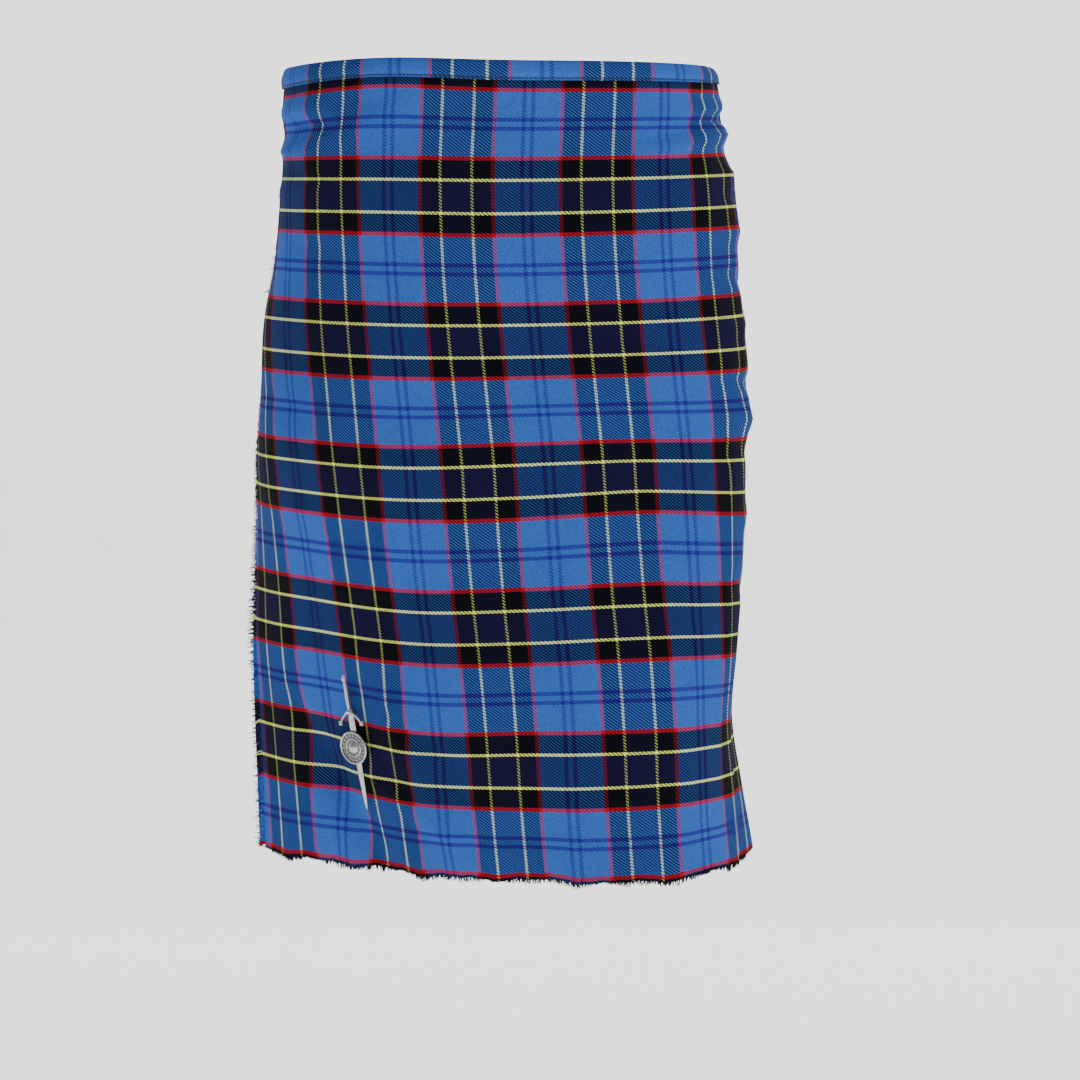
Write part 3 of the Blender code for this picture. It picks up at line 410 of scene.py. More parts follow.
def tartan_finish(name="tartan_twill", only_weft=False):
    """2/2 twill: warp and weft colours from the sett, shown in turn along diagonals."""
    nodes = Nodes(name)
    u, v = (nodes.math("MULTIPLY", part, 1 / MM) for part in nodes.weave())
    across = nodes.math("WRAP", nodes.math("DIVIDE", u, SETT), 1.0, 0.0)
    warp, warp_yields = stripes(nodes, across, 4)
    down = nodes.math("DIVIDE", nodes.math("SUBTRACT", v, WEFT_START), SETT_DOWN)
    weft, weft_covers = stripes(nodes, nodes.math("WRAP", down, 1.0, 0.0), 3)
    fuzz = nodes.noise(900.0)
    if only_weft:
        nodes.set("Base Color", nodes.mix(nodes.spread(fuzz, 0.3, 0.7, 0.0, 0.35), weft,
                                          FRINGE_DARK))
    else:
        phase = nodes.math("SUBTRACT", nodes.math("DIVIDE", u, TWILL_ACROSS),
                           nodes.math("DIVIDE", v, TWILL_DOWN))
        wave = nodes.math("SINE", nodes.math("MULTIPLY", phase, 2 * math.pi))
        covers = nodes.math("ADD", weft_covers, warp_yields)
        on_weft = nodes.spread(nodes.math("ADD", wave, covers), *WEFT_SHOWS)
        # painted shade in the weave: a light yarn is coloured darker where it crosses dark ones,
        # as if shaded by them
        shade_by_weft = nodes.spread(lightness(nodes, weft), *DARK_TO_LIGHT, 0.46, 1.0)
        shade_by_warp = nodes.spread(lightness(nodes, warp), *DARK_TO_LIGHT, 0.82, 1.0)
        woven = nodes.mix(on_weft, nodes.scaled(warp, shade_by_weft), nodes.scaled(weft, shade_by_warp))
        uneven = nodes.math("MULTIPLY", nodes.spread(nodes.noise(9.0, 4.0), 0.3, 0.7, 0.92, 1.06),
                            nodes.spread(fuzz, 0.25, 0.75, 0.76, 1.20))
        nodes.set("Base Color", nodes.scaled(woven, uneven))
        ribs = nodes.math("ADD", nodes.math("ABSOLUTE", wave), nodes.math("MULTIPLY", fuzz, 0.6))
        nodes.bump(ribs, 0.35, 0.0004)
    nodes.set("Roughness", 0.92)
    nodes.set("Specular IOR Level", 0.08)
    return nodes.material


def leather_finish():
    nodes = Nodes("black_leather_grain")
    large = nodes.noise(60.0, 3.0)
    nodes.set("Base Color", nodes.mix(nodes.spread(large, 0.35, 0.7), (0.004, 0.004, 0.004, 1),
                                      (0.012, 0.011, 0.010, 1)))
    nodes.set("Roughness", nodes.spread(large, 0.3, 0.7, 0.34, 0.5))
    nodes.set("Specular IOR Level", 0.22)
    nodes.bump(nodes.noise(1400.0, 5.0), 0.35, 0.0004)
    return nodes.material


def metal_finish(name, light, dark, roughness, scale):
    """Plated metal with random tarnish. Its mesh's "weave" x is 1 where it is painted dark, as
    painted shade in recesses.
    """
    nodes = Nodes(name)
    worn = nodes.noise(scale, 3.0)
    # painted shade where the mesh marks a recess, with random tarnish from the noise
    tarnish_and_shade = nodes.math("MAXIMUM", nodes.weave()[0], nodes.spread(worn, 0.52, 0.74, 0.0, 0.5))
    nodes.set("Base Color", nodes.mix(tarnish_and_shade, (*light, 1), (*dark, 1)))
    nodes.set("Roughness", nodes.spread(worn, 0.3, 0.7, roughness, roughness + 0.12))
    nodes.set("Metallic", 1.0)
    nodes.bump(nodes.noise(scale * 3, 3.0), 0.08, 0.0002)
    return nodes.material


def thread_finish(name, dark, light):
    nodes = Nodes(name)
    nodes.set("Base Color", nodes.mix(nodes.noise(2500.0), (*dark, 1), (*light, 1)))
    nodes.set("Roughness", 0.7)
    return nodes.material


# ---- meshes
def placed(name, data):
    """A new object in the scene."""
    made = bpy.data.objects.new(name, data)
    bpy.context.collection.objects.link(made)
    return made


def add_piece(name, points, faces, finish, weave=None, sharp=50.0):
    """A mesh from points in metres. weave holds each point's (warp, weft) place, in mm."""
    mesh = bpy.data.meshes.new(name)
    mesh.from_pydata([tuple(p) for p in points], [], faces)
    shape = bmesh.new()
    shape.from_mesh(mesh)
    bmesh.ops.recalc_face_normals(shape, faces=shape.faces)
    if weave is not None:
        layer = shape.loops.layers.uv.new("weave")
        for face in shape.faces:
            for loop in face.loops:
                loop[layer].uv = weave[loop.vert.index]
    shape.to_mesh(mesh)
    shape.free()
    mesh.shade_smooth()
    mesh.set_sharp_from_angle(angle=math.radians(sharp))
    mesh.materials.append(finish)
    made = placed(name, mesh)
    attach(made, "root")
    return made


def wall(name, rows, weave, finish):
    """A closed wall. rows[r][side][c] is a point, weave[r][c] its place in the weave."""
    count, width = len(rows), len(rows[0][0])
    points = [point for side in (0, 1) for row in rows for point in row[side]]
    places = [(u * MM, v * MM) for row in weave for u, v in row] * 2

    def at(side, r, c):
        return (side * count + r) * width + c

    faces = [(at(side, r, c), at(side, r, c + 1), at(side, r + 1, c + 1), at(side, r + 1, c))
             for side in (0, 1) for r in range(count - 1) for c in range(width - 1)]
    faces += [(at(0, r, c), at(0, r, c + 1), at(1, r, c + 1), at(1, r, c))
              for r in (0, count - 1) for c in range(width - 1)]
    faces += [(at(0, r, c), at(0, r + 1, c), at(1, r + 1, c), at(1, r, c))
              for c in (0, width - 1) for r in range(count - 1)]
    return add_piece(name, points, faces, finish, places)


def turns(count):
    """Angles all round, from 0."""
    return [2 * math.pi * k / count for k in range(count)]


def lofted(rings, closed=False):
    """A closed mesh through rings of the same count, whose last joins the first if closed."""
    count, sides = len(rings), len(rings[0])
    faces = []
    for i in range(count if closed else count - 1):
        a, b = i * sides, (i + 1) % count * sides
        faces += [(a + k, a + (k + 1) % sides, b + (k + 1) % sides, b + k) for k in range(sides)]
    if not closed:
        faces.append(tuple(range(sides)))
        faces.append(tuple((count - 1) * sides + k for k in reversed(range(sides))))
    return [point for ring in rings for point in ring], faces


def tube_mesh(points, radii, sides, closed=False):
    """A tube through points, in metres. radii is a list or one number."""
    count = len(points)
    if isinstance(radii, (int, float)):
        radii = [radii] * count
    rings = []
    for i, point in enumerate(points):
        before = points[(i - 1) % count] if closed or i else point
        after = points[(i + 1) % count] if closed or i < count - 1 else point
        along = (after - before).normalized()
        helper = Vector((0, 0, 1)) if abs(along.z) < 0.75 else Vector((0.31, 0.95, 0))
        one = along.cross(helper).normalized()
        two = along.cross(one)
        rings.append([point + (one * math.cos(a) + two * math.sin(a)) * radii[i]
                      for a in turns(sides)])
    return lofted(rings, closed)


class Gathered:
    """Collects many small closed meshes into one piece."""

    def __init__(self):
        self.points, self.faces, self.places = [], [], []

    def add(self, mesh, place=(0.0, 0.0)):
        points, faces = mesh
        first = len(self.points)
        self.points.extend(points)
        self.faces.extend(tuple(first + k for k in face) for face in faces)
        self.places.extend([place] * len(points))

    def piece(self, name, finish, slot, weave=False, sharp=50.0):
        return add_piece(name, self.points, self.faces, finish,
                         self.places if weave else None, sharp)


# ---- cloth
FOLD_TURNS = (90, 45, 0, -45, -90)  # places round a folded edge


class Path:
    """The cloth's path across one level: u and n of its right and wrong side, and its warp."""

    def __init__(self, v):
        self.v, self.columns = v, []

    def outward(self, u, face, warp):
        self.columns.append(((u, face), (u, face - CLOTH), warp))

    def inward(self, u, face, warp):
        self.columns.append(((u, face - CLOTH), (u, face), warp))

    def fold(self, u, face, warp, inner=False):
        """A folded edge at u from the layer at face to the one under it."""
        middle = face - (PITCH + CLOTH) / 2
        wide, narrow = (PITCH + CLOTH) / 2, (PITCH - CLOTH) / 2
        way, right, wrong = (1, narrow, wide) if inner else (-1, wide, narrow)
        for turn in FOLD_TURNS:
            c, s = math.cos(math.radians(turn)), math.sin(math.radians(turn))
            self.columns.append(((u + way * (TURN - right * c), middle + right * s),
                                 (u + way * (TURN - wrong * c), middle + wrong * s), warp))

    def points(self):
        right, wrong, _ = zip(*self.columns)
        sides = (np.array(side).T for side in (right, wrong))
        return [cloth_points(u, self.v, n) for u, n in sides]

    def weave(self):
        return [(column[2], self.v) for column in self.columns]


def face_at(i, depth):
    """n of the outer face of a layer, the depth-th one under folded edge i."""
    return (0.0 if i <= 0 else BACK_FACE) - depth * PITCH


def edge_lift(i, v):
    """How far pleat i's folded edge stands off, below where the pleats are stitched."""
    if i < 1 or i > PLEATS - 3:
        return 0.0
    free = max(0.0, (v - FELL) / (LENGTH - FELL))
    return (PLEAT_LIFT + 1.1 * math.sin(2.3 * i)) * free


def pleat_middle(i):
    """Warp place at the middle of what shows of pleat i."""
    return FIRST_PLEAT_MIDDLE + (i - 1) * PLEAT_SETT + i * SETT


def pleat_edge(i, v):
    """Warp place at folded edge i."""
    return crease(v) if i == 0 else pleat_middle(i) + reveal(v) / 2


def apron_edge(v):
    """u of the over apron's fringed edge."""
    return APRON_EDGE - between(APRON_SAG, v)


def over_apron_path(v):
    path = Path(v)
    last = station(-2, v)
    for u in np.linspace(apron_edge(v), last, int((CREASE_TOP - APRON_EDGE) / COLUMN_STEP)):
        path.outward(u, float(flare(u, v)), u)
    edge = crease(v)
    for u in (station(-1, v), edge - 6):
        path.outward(u, 0.0, u)
    path.fold(edge, 0.0, edge)
    for i in (-1, -2):
        path.inward(station(i, v), face_at(i, 1), 2 * edge - station(i, v))
    return path


def pleats_path(first, last):
    """Pleats from first to last: starts under the piece before, ends in its last fold."""
    def make(v):
        path = Path(v)
        width = reveal(v)

        def coming(j):
            """Layer of pleat j, from two widths under edge j - 1 until it shows."""
            hidden = pleat_middle(j) - width / 2
            for back in (1, 0):
                i = j - 1 - back
                depth = 2 + 2 * back if i >= 0 else 2 + 2 * (j - 1)
                path.outward(station(i, v), face_at(i, depth), hidden - back * width)

        def showing(j):
            """What shows of pleat j, up to its folded edge, and the layer going back."""
            start, edge = station(j - 1, v), station(j, v)
            low, high = face_at(j - 1, 2), face_at(j, 0) + edge_lift(j, v)
            for part in np.linspace(0, 1, 7)[1:-1]:
                path.outward(start + part * width, low + part * (high - low),
                             pleat_edge(j, v) - (1 - part) * width)
            path.fold(edge, high, pleat_edge(j, v))
            path.inward(start, face_at(j - 1, 3), pleat_edge(j, v) + width)

        start = first - 3
        depth = 2 + 2 * (first - 1 - max(start, 0))
        path.outward(station(start, v), face_at(start, depth),
                     pleat_middle(first) - 2.5 * width)
        coming(first)
        for j in range(first, last + 1):
            showing(j)
            i = j - 2
            inner = 1 + 2 * (j - max(i, 0))
            warp = pleat_edge(j, v) + 2 * width
            if j < last:
                path.fold(station(i, v), face_at(i, inner), warp, inner=True)
                coming(j + 1)
            else:
                path.inward(station(i, v), face_at(i, inner), warp)
        return path
    return make


def under_face(u):
    """n of the under apron's outer face."""
    part = min(max((u - UNDER_SINK[0]) / (UNDER_SINK[1] - UNDER_SINK[0]), 0.0), 1.0)
    return UNDER_FACE + (UNDER_DEEP - UNDER_FACE) * part


def under_apron_path(v):
    path = Path(v)
    girth = section(v).girth
    for back, depth in ((2, 6), (1, 4), (0, 2)):
        u = station(PLEATS - back, v)
        path.outward(u, face_at(PLEATS, depth), u - girth)
    start, end = station(PLEATS, v) - girth, crease(v) - UNDER_SHORT
    for u in np.linspace(start, end, UNDER_COUNT)[1:]:
        path.outward(u, under_face(u), u)
    return path


def cloth_piece(name, maker, finish):
    """Takes the place of the CAD's cloth of this name."""
    levels = np.linspace(CLOTH_TOP, LENGTH, int((LENGTH - CLOTH_TOP) / ROW_STEP) + 1)
    paths = [maker(v) for v in levels]
    made = wall(name + "_cloth", [path.points() for path in paths],
                [path.weave() for path in paths], finish)
    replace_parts(made, name)
    return made


# ---- sizes of the small pieces, in mm
BAND_OFF = 0.5  # slack of the binding round the cloth
BAND_WEFT = 41.5  # weft place at the band's lower edge: inside a light blue part
BAND_PUFF = (  # (v, how far the binding puffs out), with a groove for the stitches
    (15.0, 0.5), (14.2, 0.6), (13.3, 0.0), (12.2, 0.9), (9.5, 1.5), (6.5, 1.5), (3.0, 0.7))
BAND_BACK = ((3.0, 0.3), (8.0, 0.3), (13.6, 0.3), (15.0, 0.0))  # the same, inside
BAND_FOLD = 2.6  # height of its folded top
STITCH_LINE = BAND_HEIGHT - 1.7
STITCH_SHOWS = 0.7  # part of each stitch that is thread
FRINGE_TOP = 24.0
FRINGE_CURL = (  # (v, how far the threads stand out)
    (24, 0.0), (136, 0.1), (140, 1.7), (158, 1.7), (164, 0.4), (168, 1.4), (180, 1.4),
    (188, 0.2), (330, 0.5), (420, 0.8), (609, 0.8))
FRINGE_REACH = ((24, 7), (90, 6), (200, 5), (330, 4.5), (420, 5.5), (609, 6))  # (v, length)
HEM_ROOT = 1.2  # the hem's loose threads start this far above the cut edge
HEM_WEFT = LENGTH + 4  # and have the colour of this place in the weave
STRAP_SEWN = (  # (strap, u of its sewn end, which way it runs, v of its middle)
    ("strap_right_waist", -253.0, -1, 46.0), ("strap_right_hip", -253.0, -1, 132.0),
    ("strap_left_waist", 260.0, 1, 46.0))
SEWN_LENGTH = 11.5  # far side of the stitches, from the strap's end
SEWN_INSET = 1.8  # near side
SEWN_HALF = 10.3  # half their width across the strap
SEWN_STITCH = 3.0
SEWN_THREAD = 0.34
PIN_TOP = (-156.0, 462.0)  # (u, v) of the pommel's end
PIN_TIP = (-152.7, 565.0)  # (u, v) of the blade's tip
PIN_STANDOFF = 4.8
SWORD_THICKNESS = 2.2
SWORD_MIDDLE = SWORD_THICKNESS / 2
# The sword's parts, along its 100 mm: (along, half width, half thickness) of the pommel.
POMMEL = ((0.0, 0.3, 0.3), (0.6, 0.9, 0.9), (1.8, 1.5, 1.3), (3.4, 2.0, 1.6), (4.6, 1.7, 1.4),
          (5.4, 1.0, 0.9), (6.0, 1.3, 1.1), (6.8, 1.3, 1.1), (7.4, 0.9, 0.8))
GRIP_START, GRIP_LENGTH, GRIP_WIRES = 7.0, 19.0, 11
BLADE = ((26.0, 2.2), (30.0, 2.5), (34.0, 3.0), (44.0, 3.2), (60.0, 3.0), (75.0, 2.5),
         (88.0, 1.9), (95.0, 1.3), (98.5, 0.7), (100.0, 0.15))  # (along, half width)
BLADE_WIDEST = 3.2
GROOVE_END = 84.0
GUARD_ARM = ((27.0, 0.0, 1.35), (27.4, 1.6, 1.25), (29.4, 4.6, 1.0), (32.0, 7.4, 0.9),
             (34.6, 9.6, 0.8))  # (along, across, radius)
GUARD_END = (35.8, 10.6)  # middle of the small lobes at each arm's end
TARGE_PLACE = 57.0  # middle of the small shield, along the sword
# Plate and boss: (radius, height over TARGE_BASE). Rims: (radius, wire). Studs: (count,
# radius of their ring, size).
TARGE_BASE = SWORD_THICKNESS + 0.4
TARGE_PLATE = ((12.2, 0.0), (12.6, 0.5), (11.6, 0.75), (0.4, 0.9))
TARGE_BOSS = ((4.6, 0.7), (4.4, 1.4), (3.4, 2.3), (2.2, 3.0), (1.1, 3.4), (0.2, 3.5))
TARGE_RIMS = ((12.3, 0.85), (7.0, 0.6))
TARGE_STUDS = ((18, 9.65, 0.8), (9, 5.5, 0.55))
ROUNDED = 0.35  # edges of the CAD's nodes that stay
SHADED_GROUND = (0.8, 0.0)  # place in the metal's "weave" that paints it dark: painted shade on the targe's recessed ground

# ---- light and camera, in metres
FLOOR = -1.1
PAPER_FRONT, PAPER_BEND, PAPER_ROUND, PAPER_TOP, PAPER_HALF = -16.0, 2.0, 1.5, 7.0, 9.0
WORLD_LIGHT = 0.36
PAPER_LIGHT = 1.2
KEY_LIGHT = ((1.6, -2.2, 1.7), 1.2, 43.0)  # place, size, watts
FILL_LIGHT = ((-1.9, -2.0, 0.6), 1.4, 1.5)
LIT_PLACE = (0, 0, -0.3)
CAMERA_PLACE = (0.0, -2.9, -0.072)
CAMERA_TURN = (5.7, 0.6)  # down, and towards +X, in degrees
CAMERA_LENS = 124.4


# ---- waistband
def band_section(u, outer, inner):
    """The folded binding at u: points (n, v) of its outer and its inner face."""
    out, into = outer + BAND_OFF, inner - BAND_OFF
    middle, half = (out + into) / 2, (out - into) / 2
    path = [((out + CLOTH + puff, v), (out, v)) for v, puff in BAND_PUFF]
    for turn in (20, 50, 90, 130, 160):
        c, s = math.cos(math.radians(turn)), math.sin(math.radians(turn))
        path.append(((middle + (half + CLOTH + 0.4) * c, BAND_FOLD - BAND_FOLD * s),
                     (middle + half * c, BAND_FOLD - CLOTH * s)))
    return path + [((into - CLOTH - puff, v), (into, v)) for v, puff in BAND_BACK]


def band_piece(name, stops, finish):
    """stops holds (u, outer face, inner face) of the cloth that it binds."""
    rows, weave = [], []
    for u, outer, inner in stops:
        path = band_section(u, outer, inner)
        rows.append([[cloth_point(u, v, n) for n, v in side] for side in zip(*path)])
        warp, weft = u - between(BAND_SLIP, u), BAND_WEFT
        line = [(warp, weft)]
        for ((n0, v0), _), ((n1, v1), _) in zip(path, path[1:]):
            weft -= math.hypot(n1 - n0, v1 - v0)
            line.append((warp, weft))
        weave.append(line)
    made = wall(name + "_cloth", rows, weave, finish)
    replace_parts(made, name)
    return made


def outer_band_stops():
    """Over the over apron, and on round the pleats."""
    stops = []
    last = station(-2, CLOTH_TOP)
    for u in np.linspace(APRON_EDGE - 0.5, last, int((last - APRON_EDGE) / COLUMN_STEP)):
        sunk = 0.0 if u < last - 8 else (u - last + 8) / 8
        off = float(flare(u, CLOTH_TOP))
        stops.append((u, off, off - CLOTH + sunk * (STACKS[-2] + CLOTH)))
    for i in range(-1, PLEATS + 1):
        before = stops[-1]
        after = (station(i, CLOTH_TOP), face_at(i, 0), STACKS.get(i, STACK_DEPTH))
        for part in (0.25, 0.5, 0.75, 1.0):
            stops.append(tuple(a + part * (b - a) for a, b in zip(before, after)))
    return stops


def under_band_stops():
    start = station(PLEATS, CLOTH_TOP) - section(CLOTH_TOP).girth + 0.5
    end = crease(CLOTH_TOP) - UNDER_SHORT
    return [(u, under_face(u), under_face(u) - CLOTH)
            for u in np.linspace(start, end, int((end - start) / COLUMN_STEP))]


def stitches(name, stops, finish):
    """A row of machine stitches along the band's lower edge, on its face."""
    rows = Gathered()
    places = np.array([(u, outer) for u, outer, _ in stops])
    shown = STITCH_SHOWS * STITCH
    u = places[0, 0] + 3
    while u < places[-1, 0] - 3:
        outer = np.interp([u, u + shown], places[:, 0], places[:, 1]) + BAND_OFF + CLOTH
        ends = [cloth_point(u + part * shown, STITCH_LINE + 0.1 * math.sin(u),
                            float(np.interp(part, (0, 1), outer)) + lift)
                for part, lift in ((0, 0.0), (0.2, THREAD), (0.8, THREAD), (1, 0.0))]
        rows.add(tube_mesh(ends, THREAD * MM, 5))
        u += STITCH
    return rows.piece(name, finish, "tartan")


# ---- fringes
def strand(points, radius):
    count = len(points)
    radii = [radius * (1 - 0.55 * k / (count - 1)) * MM for k in range(count)]
    return tube_mesh(points, radii, 3)


def apron_fringe(finish, dice):
    """Weft threads left free along the over apron's edge."""
    threads = Gathered()
    v = FRINGE_TOP
    while v < LENGTH - 1:
        reach = between(FRINGE_REACH, v) * dice.uniform(0.55, 1.2)
        off = float(flare(APRON_EDGE, v)) - CLOTH / 2 + dice.uniform(-0.4, 0.4)
        droop, edge = dice.uniform(-0.6, 2.6), apron_edge(v)
        curl = reach * dice.uniform(0.5, 1.3) * between(FRINGE_CURL, v)
        sway = dice.uniform(-1.1, 1.1)
        points = [cloth_point(edge + 1.0 - part * (reach + 1.0),
                              min(v + droop * part**2 + sway * math.sin(6 * part), LENGTH + 4),
                              off + curl * part**1.3 + 0.5 * math.sin(7 * part + v))
                  for part in (k / 5 for k in range(6))]
        threads.add(strand(points, dice.uniform(0.4, 0.75)), (0.0, v * MM))
        v += dice.uniform(0.3, 0.7)
    made = threads.piece("apron_fringe_threads", finish, "tartan", weave=True)
    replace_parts(made, "apron_fringe")
    return made


def hem_threads(finish, dice):
    """Short loose threads under the hems of the over apron and of both lengths of pleats."""
    hems = {name: Gathered() for name in ("over_apron", "pleats_left", "pleats_right")}
    girth = section(LENGTH).girth
    edge, parted = crease(LENGTH), station(SPLIT, LENGTH)
    u = APRON_EDGE + 1
    while u < APRON_EDGE + girth + 30:
        face = float(flare(u, LENGTH)) if u < edge else BACK_FACE
        root = cloth_point(u, LENGTH - HEM_ROOT, face - CLOTH * dice.uniform(0.2, 0.8))
        here, there = (cloth_point(place, LENGTH - HEM_ROOT, face - CLOTH / 2)
                       for place in (u, u + 1))
        aside = (there - here).normalized() * MM
        reach = 1.8 + dice.uniform(0.4, 2.4) * (1 + math.sin(0.11 * u) * math.sin(0.037 * u))
        lean, bend = dice.uniform(-1.8, 1.8), dice.uniform(-1.2, 1.2)
        points = [root + aside * (lean * part + bend * math.sin(3 * part))
                  - Vector((0, 0, reach * part * MM)) for part in (0, 0.35, 0.7, 1.0)]
        above = "over_apron" if u < edge else "pleats_left" if u < parted else "pleats_right"
        hems[above].add(strand(points, dice.uniform(0.4, 0.8)), (u * MM, HEM_WEFT * MM))
        u += dice.uniform(0.35, 0.8)
    return [threads.piece(name + "_hem_threads", finish, "tartan", weave=True)
            for name, threads in hems.items()]


# ---- CAD nodes that stay
def dress(node, finish):
    """A material and rounded edges for a CAD node that stays."""
    node.data.materials.clear()
    node.data.materials.append(finish)
    rounded = node.modifiers.new("rounded", "BEVEL")
    rounded.width = ROUNDED * MM
    rounded.segments = 2
    rounded.limit_method = "ANGLE"
    rounded.angle_limit = math.radians(28)
    rounded.harden_normals = True


def strap_stitches(finish):
    """The stitches that hold each strap to the cloth, laid on the strap's own face."""
    rows = Gathered()
    for name, start, way, v in STRAP_SEWN:
        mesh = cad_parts[name].data
        face = BVHTree.FromPolygons([p.co for p in mesh.vertices],
                                    [tuple(f.vertices) for f in mesh.polygons])

        def on_strap(u, down, lift):
            far = cloth_point(u, down, 30.0)
            inward = (cloth_point(u, down, -10.0) - far).normalized()
            hit = face.ray_cast(far, inward, 0.05)[0]
            return None if hit is None else hit - inward * lift * MM

        u0, u1 = start + SEWN_INSET * way, start + SEWN_LENGTH * way
        v0, v1 = v - SEWN_HALF, v + SEWN_HALF
        corners = ((u1, v0), (u0, v0), (u0, v1), (u1, v1), (u1, v0))
        for (ua, va), (ub, vb) in zip(corners, corners[1:]):
            count = max(2, round(math.hypot(ub - ua, vb - va) / SEWN_STITCH))
            for k in range(count):
                ends = []
                for part, lift in ((0.1, -0.1), (0.3, 0.3), (0.7, 0.3), (0.9, -0.1)):
                    reach = (k + part) / count
                    ends.append(on_strap(ua + reach * (ub - ua), va + reach * (vb - va), lift))
                if None not in ends:
                    rows.add(tube_mesh(ends, SEWN_THREAD * MM, 5))
    return rows.piece("strap_stitches", finish, "black_leather")


# ---- sword shaped pin
class PinFrame:
    """Axes of the pin: along the sword, across it, and out from the cloth, in metres."""

    def __init__(self):
        (u0, v0), (u1, v1) = PIN_TOP, PIN_TIP
        top, tip = (cloth_point(u, v, PIN_STANDOFF + float(flare(u, v)))
                    for u, v in (PIN_TOP, PIN_TIP))
        out = section((v0 + v1) / 2).outward((u0 + u1) / 2)
        self.origin = top
        self.along = (tip - top).normalized()
        self.scale = (tip - top).length / MM / 100.0
        out = Vector((out[0], out[1], 0.0))
        self.out = (out - self.along * out.dot(self.along)).normalized()
        self.across = self.out.cross(self.along)

    def point(self, along, across, out):
        return self.origin + MM * (self.along * along * self.scale + self.across * across
                                   + self.out * out)

    def ring(self, along, half, thick):
        """A rounded section of the sword."""
        return [self.point(along, half * math.cos(a), SWORD_MIDDLE + thick * math.sin(a))
                for a in turns(12)]

    def circle(self, along, across, radius, out, sides):
        """A circle round a place on the pin, as far from the cloth all round."""
        return [self.point(along + radius * math.cos(a) / self.scale,
                           across + radius * math.sin(a), out) for a in turns(sides)]


def turned(pin, along, across, profile, sides=40):
    """A turned form on the pin from (radius, height) pairs."""
    return lofted([pin.circle(along, across, radius, height, sides) for radius, height in profile])


def bead(pin, along, across, out, radius, flat=1.0):
    """A small ball on the pin."""
    profile = [(radius * math.sin(a), out + flat * radius * math.cos(a))
               for a in (math.pi * i / 6 for i in range(1, 6))]
    return turned(pin, along, across, profile, 10)


def sword_piece(pin, finish):
    made = Gathered()
    # pommel: a small lobed pear; grip: bound with wire; blade: ridged and tapering
    made.add(lofted([pin.ring(*row) for row in POMMEL]))
    grip = []
    for k in range(60):
        part = k / 59
        wires = math.cos(2 * math.pi * part * GRIP_WIRES)
        swell = 1.15 + 0.45 * math.sin(math.pi * part) + 0.16 * wires
        grip.append(pin.ring(GRIP_START + part * GRIP_LENGTH, swell, 0.85 * swell))
    made.add(lofted(grip))
    blade = []
    for along, half in BLADE:
        edge = 0.35 + 0.25 * half / BLADE_WIDEST
        ridge = edge + 0.42 * half
        groove = ridge - 0.35 if along < GROOVE_END else ridge
        blade.append([pin.point(along, a, o) for a, o in
                      ((-half, 0.2), (0, 0.0), (half, 0.2), (half, edge), (0.45 * half, ridge),
                       (0, groove), (-0.45 * half, ridge), (-half, edge))])
    made.add(lofted(blade))
    # guard: two drooping arms, each with a ring of small lobes at its end
    end, out = GUARD_END
    for side in (-1, 1):
        arm = [pin.point(along, side * across, 1.3) for along, across, _ in GUARD_ARM]
        made.add(tube_mesh(arm, [radius * MM for _, _, radius in GUARD_ARM], 10))
        for k in range(4):
            a = math.pi / 4 + math.pi / 2 * k
            made.add(bead(pin, end + 1.25 * math.cos(a), side * out + 1.25 * math.sin(a), 1.3,
                          1.05))
        made.add(bead(pin, end, side * out, 1.7, 0.9))
    made.add(bead(pin, 27.6, 0.0, 1.6, 2.1, 0.8))
    return made.piece("pin_sword_detailed", finish, "silver", weave=True, sharp=35)


def targe_piece(pin, finish):
    """A small round shield: rims, studs and a middle boss on a ground painted dark as shade."""
    made = Gathered()
    place = TARGE_PLACE / pin.scale
    plate, boss = ([(radius, TARGE_BASE + height) for radius, height in profile]
                   for profile in (TARGE_PLATE, TARGE_BOSS))
    # the plate's ground takes painted shade between the rims, studs and boss
    made.add(turned(pin, place, 0.0, plate), SHADED_GROUND)
    for radius, wire in TARGE_RIMS:
        made.add(tube_mesh(pin.circle(place, 0.0, radius, TARGE_BASE + 0.8, 48), wire * MM, 8,
                           closed=True))
    made.add(turned(pin, place, 0.0, boss))
    for count, radius, size in TARGE_STUDS:
        for k in range(count):
            a = 2 * math.pi * (k + 0.5) / count
            made.add(bead(pin, place + radius * math.cos(a) / pin.scale, radius * math.sin(a),
                          TARGE_BASE + 0.85, size))
    return made.piece("pin_targe_detailed", finish, "silver", weave=True, sharp=35)


# ---- light, floor, camera
def area_light(name, place, size, power):
    data = bpy.data.lights.new(name, "AREA")
    data.shape = "DISK"
    data.size = size
    data.energy = power
    made = placed(name, data)
    made.location = place
    aim = Vector(LIT_PLACE) - Vector(place)
    made.rotation_euler = aim.to_track_quat("-Z", "Y").to_euler()


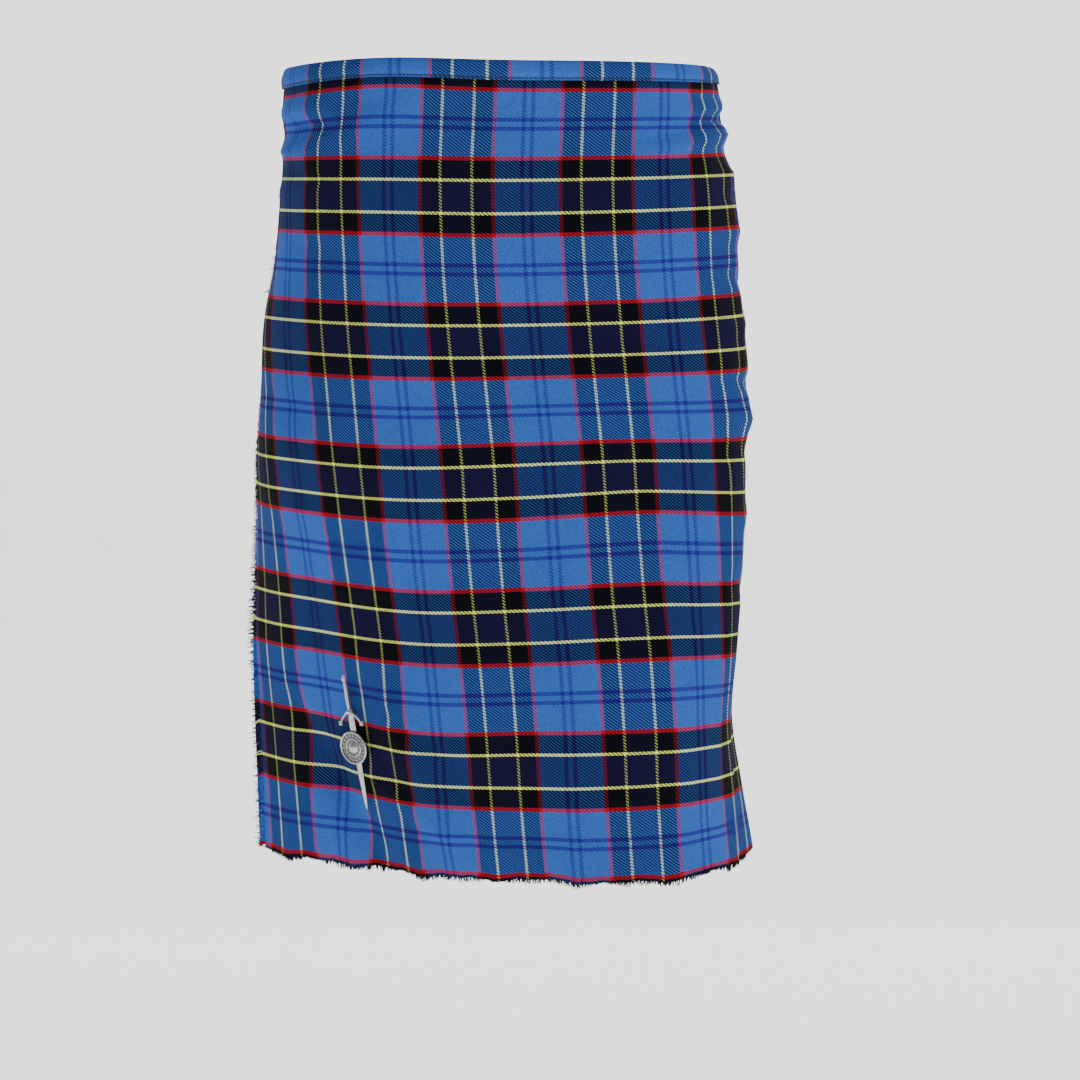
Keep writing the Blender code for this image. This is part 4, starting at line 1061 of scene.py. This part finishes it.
def set_stage():
    """A plain pale sweep of paper under and behind, and soft light."""
    nodes = Nodes("pale_paper")
    nodes.set("Base Color", (0.88, 0.88, 0.88, 1))
    nodes.set("Roughness", 0.9)
    nodes.set("Emission Color", (1, 1, 1, 1))
    nodes.set("Emission Strength", PAPER_LIGHT)
    line = [(PAPER_FRONT, FLOOR), (PAPER_BEND, FLOOR)]
    line += [(PAPER_BEND + PAPER_ROUND * math.sin(a), FLOOR + PAPER_ROUND * (1 - math.cos(a)))
             for a in (math.pi / 2 * k / 12 for k in range(1, 13))]
    line.append((PAPER_BEND + PAPER_ROUND, PAPER_TOP))
    points = [(x, y, z) for y, z in line for x in (-PAPER_HALF, PAPER_HALF)]
    mesh = bpy.data.meshes.new("paper_sweep")
    mesh.from_pydata(points, [], [(2 * k, 2 * k + 1, 2 * k + 3, 2 * k + 2)
                                  for k in range(len(line) - 1)])
    mesh.shade_smooth()
    mesh.materials.append(nodes.material)
    placed("paper_sweep", mesh)
    world = bpy.data.worlds.new("studio")
    world.use_nodes = True
    background = world.node_tree.nodes["Background"]
    background.inputs[0].default_value = (1.0, 1.0, 1.0, 1)
    background.inputs[1].default_value = WORLD_LIGHT
    bpy.context.scene.world = world
    area_light("key", *KEY_LIGHT)
    area_light("fill", *FILL_LIGHT)


def set_camera():
    data = bpy.data.cameras.new("camera")
    data.lens = CAMERA_LENS
    camera = placed("camera", data)
    camera.location = CAMERA_PLACE
    pitch, pan = CAMERA_TURN
    camera.rotation_euler = (math.radians(90 - pitch), 0, math.radians(-pan))
    bpy.context.scene.camera = camera


def main():
    dice = random.Random(11)
    tartan = tartan_finish()
    yarn = tartan_finish("fringe_yarn", only_weft=True)
    leather = leather_finish()
    nickel = metal_finish("nickel_plate", (0.58, 0.57, 0.55), (0.30, 0.29, 0.28), 0.18, 160)
    silver = metal_finish("silver_tarnish_and_shade", (0.43, 0.43, 0.44), (0.03, 0.03, 0.035), 0.24, 420)
    thread = thread_finish("sewing_thread", (0.006, 0.007, 0.014), (0.02, 0.024, 0.045))
    waxed = thread_finish("waxed_thread", (0.05, 0.05, 0.05), (0.11, 0.11, 0.105))

    over_apron = cloth_piece("over_apron", over_apron_path, tartan)
    pleats_left = cloth_piece("pleats_left", pleats_path(1, SPLIT), tartan)
    pleats_right = cloth_piece("pleats_right", pleats_path(SPLIT + 1, PLEATS), tartan)
    under_apron = cloth_piece("under_apron", under_apron_path, tartan)
    band = band_piece("waistband_outer", outer_band_stops(), tartan)
    band_in = band_piece("waistband_under", under_band_stops(), tartan)
    seam = stitches("waistband_stitches", outer_band_stops(), thread)
    fringe = apron_fringe(yarn, dice)
    hems = hem_threads(yarn, dice)

    strap_stitches(waxed)
    pin = PinFrame()
    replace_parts(sword_piece(pin, silver), "pin_sword", "pin_guard")
    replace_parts(targe_piece(pin, silver), "pin_targe")
    for name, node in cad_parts.items():
        if node.hide_render:
            continue
        if name.startswith(("strap", "buckle_tab")):
            dress(node, leather)
        elif name.startswith("buckle"):
            dress(node, nickel)
        elif name.startswith("pin"):
            dress(node, silver)

    set_camera()
    set_stage()


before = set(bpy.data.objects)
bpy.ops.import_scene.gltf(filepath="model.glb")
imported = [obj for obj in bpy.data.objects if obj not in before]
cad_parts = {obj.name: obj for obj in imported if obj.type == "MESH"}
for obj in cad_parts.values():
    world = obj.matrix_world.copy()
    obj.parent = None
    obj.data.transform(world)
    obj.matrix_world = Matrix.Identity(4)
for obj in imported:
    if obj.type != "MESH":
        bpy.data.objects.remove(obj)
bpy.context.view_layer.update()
main()
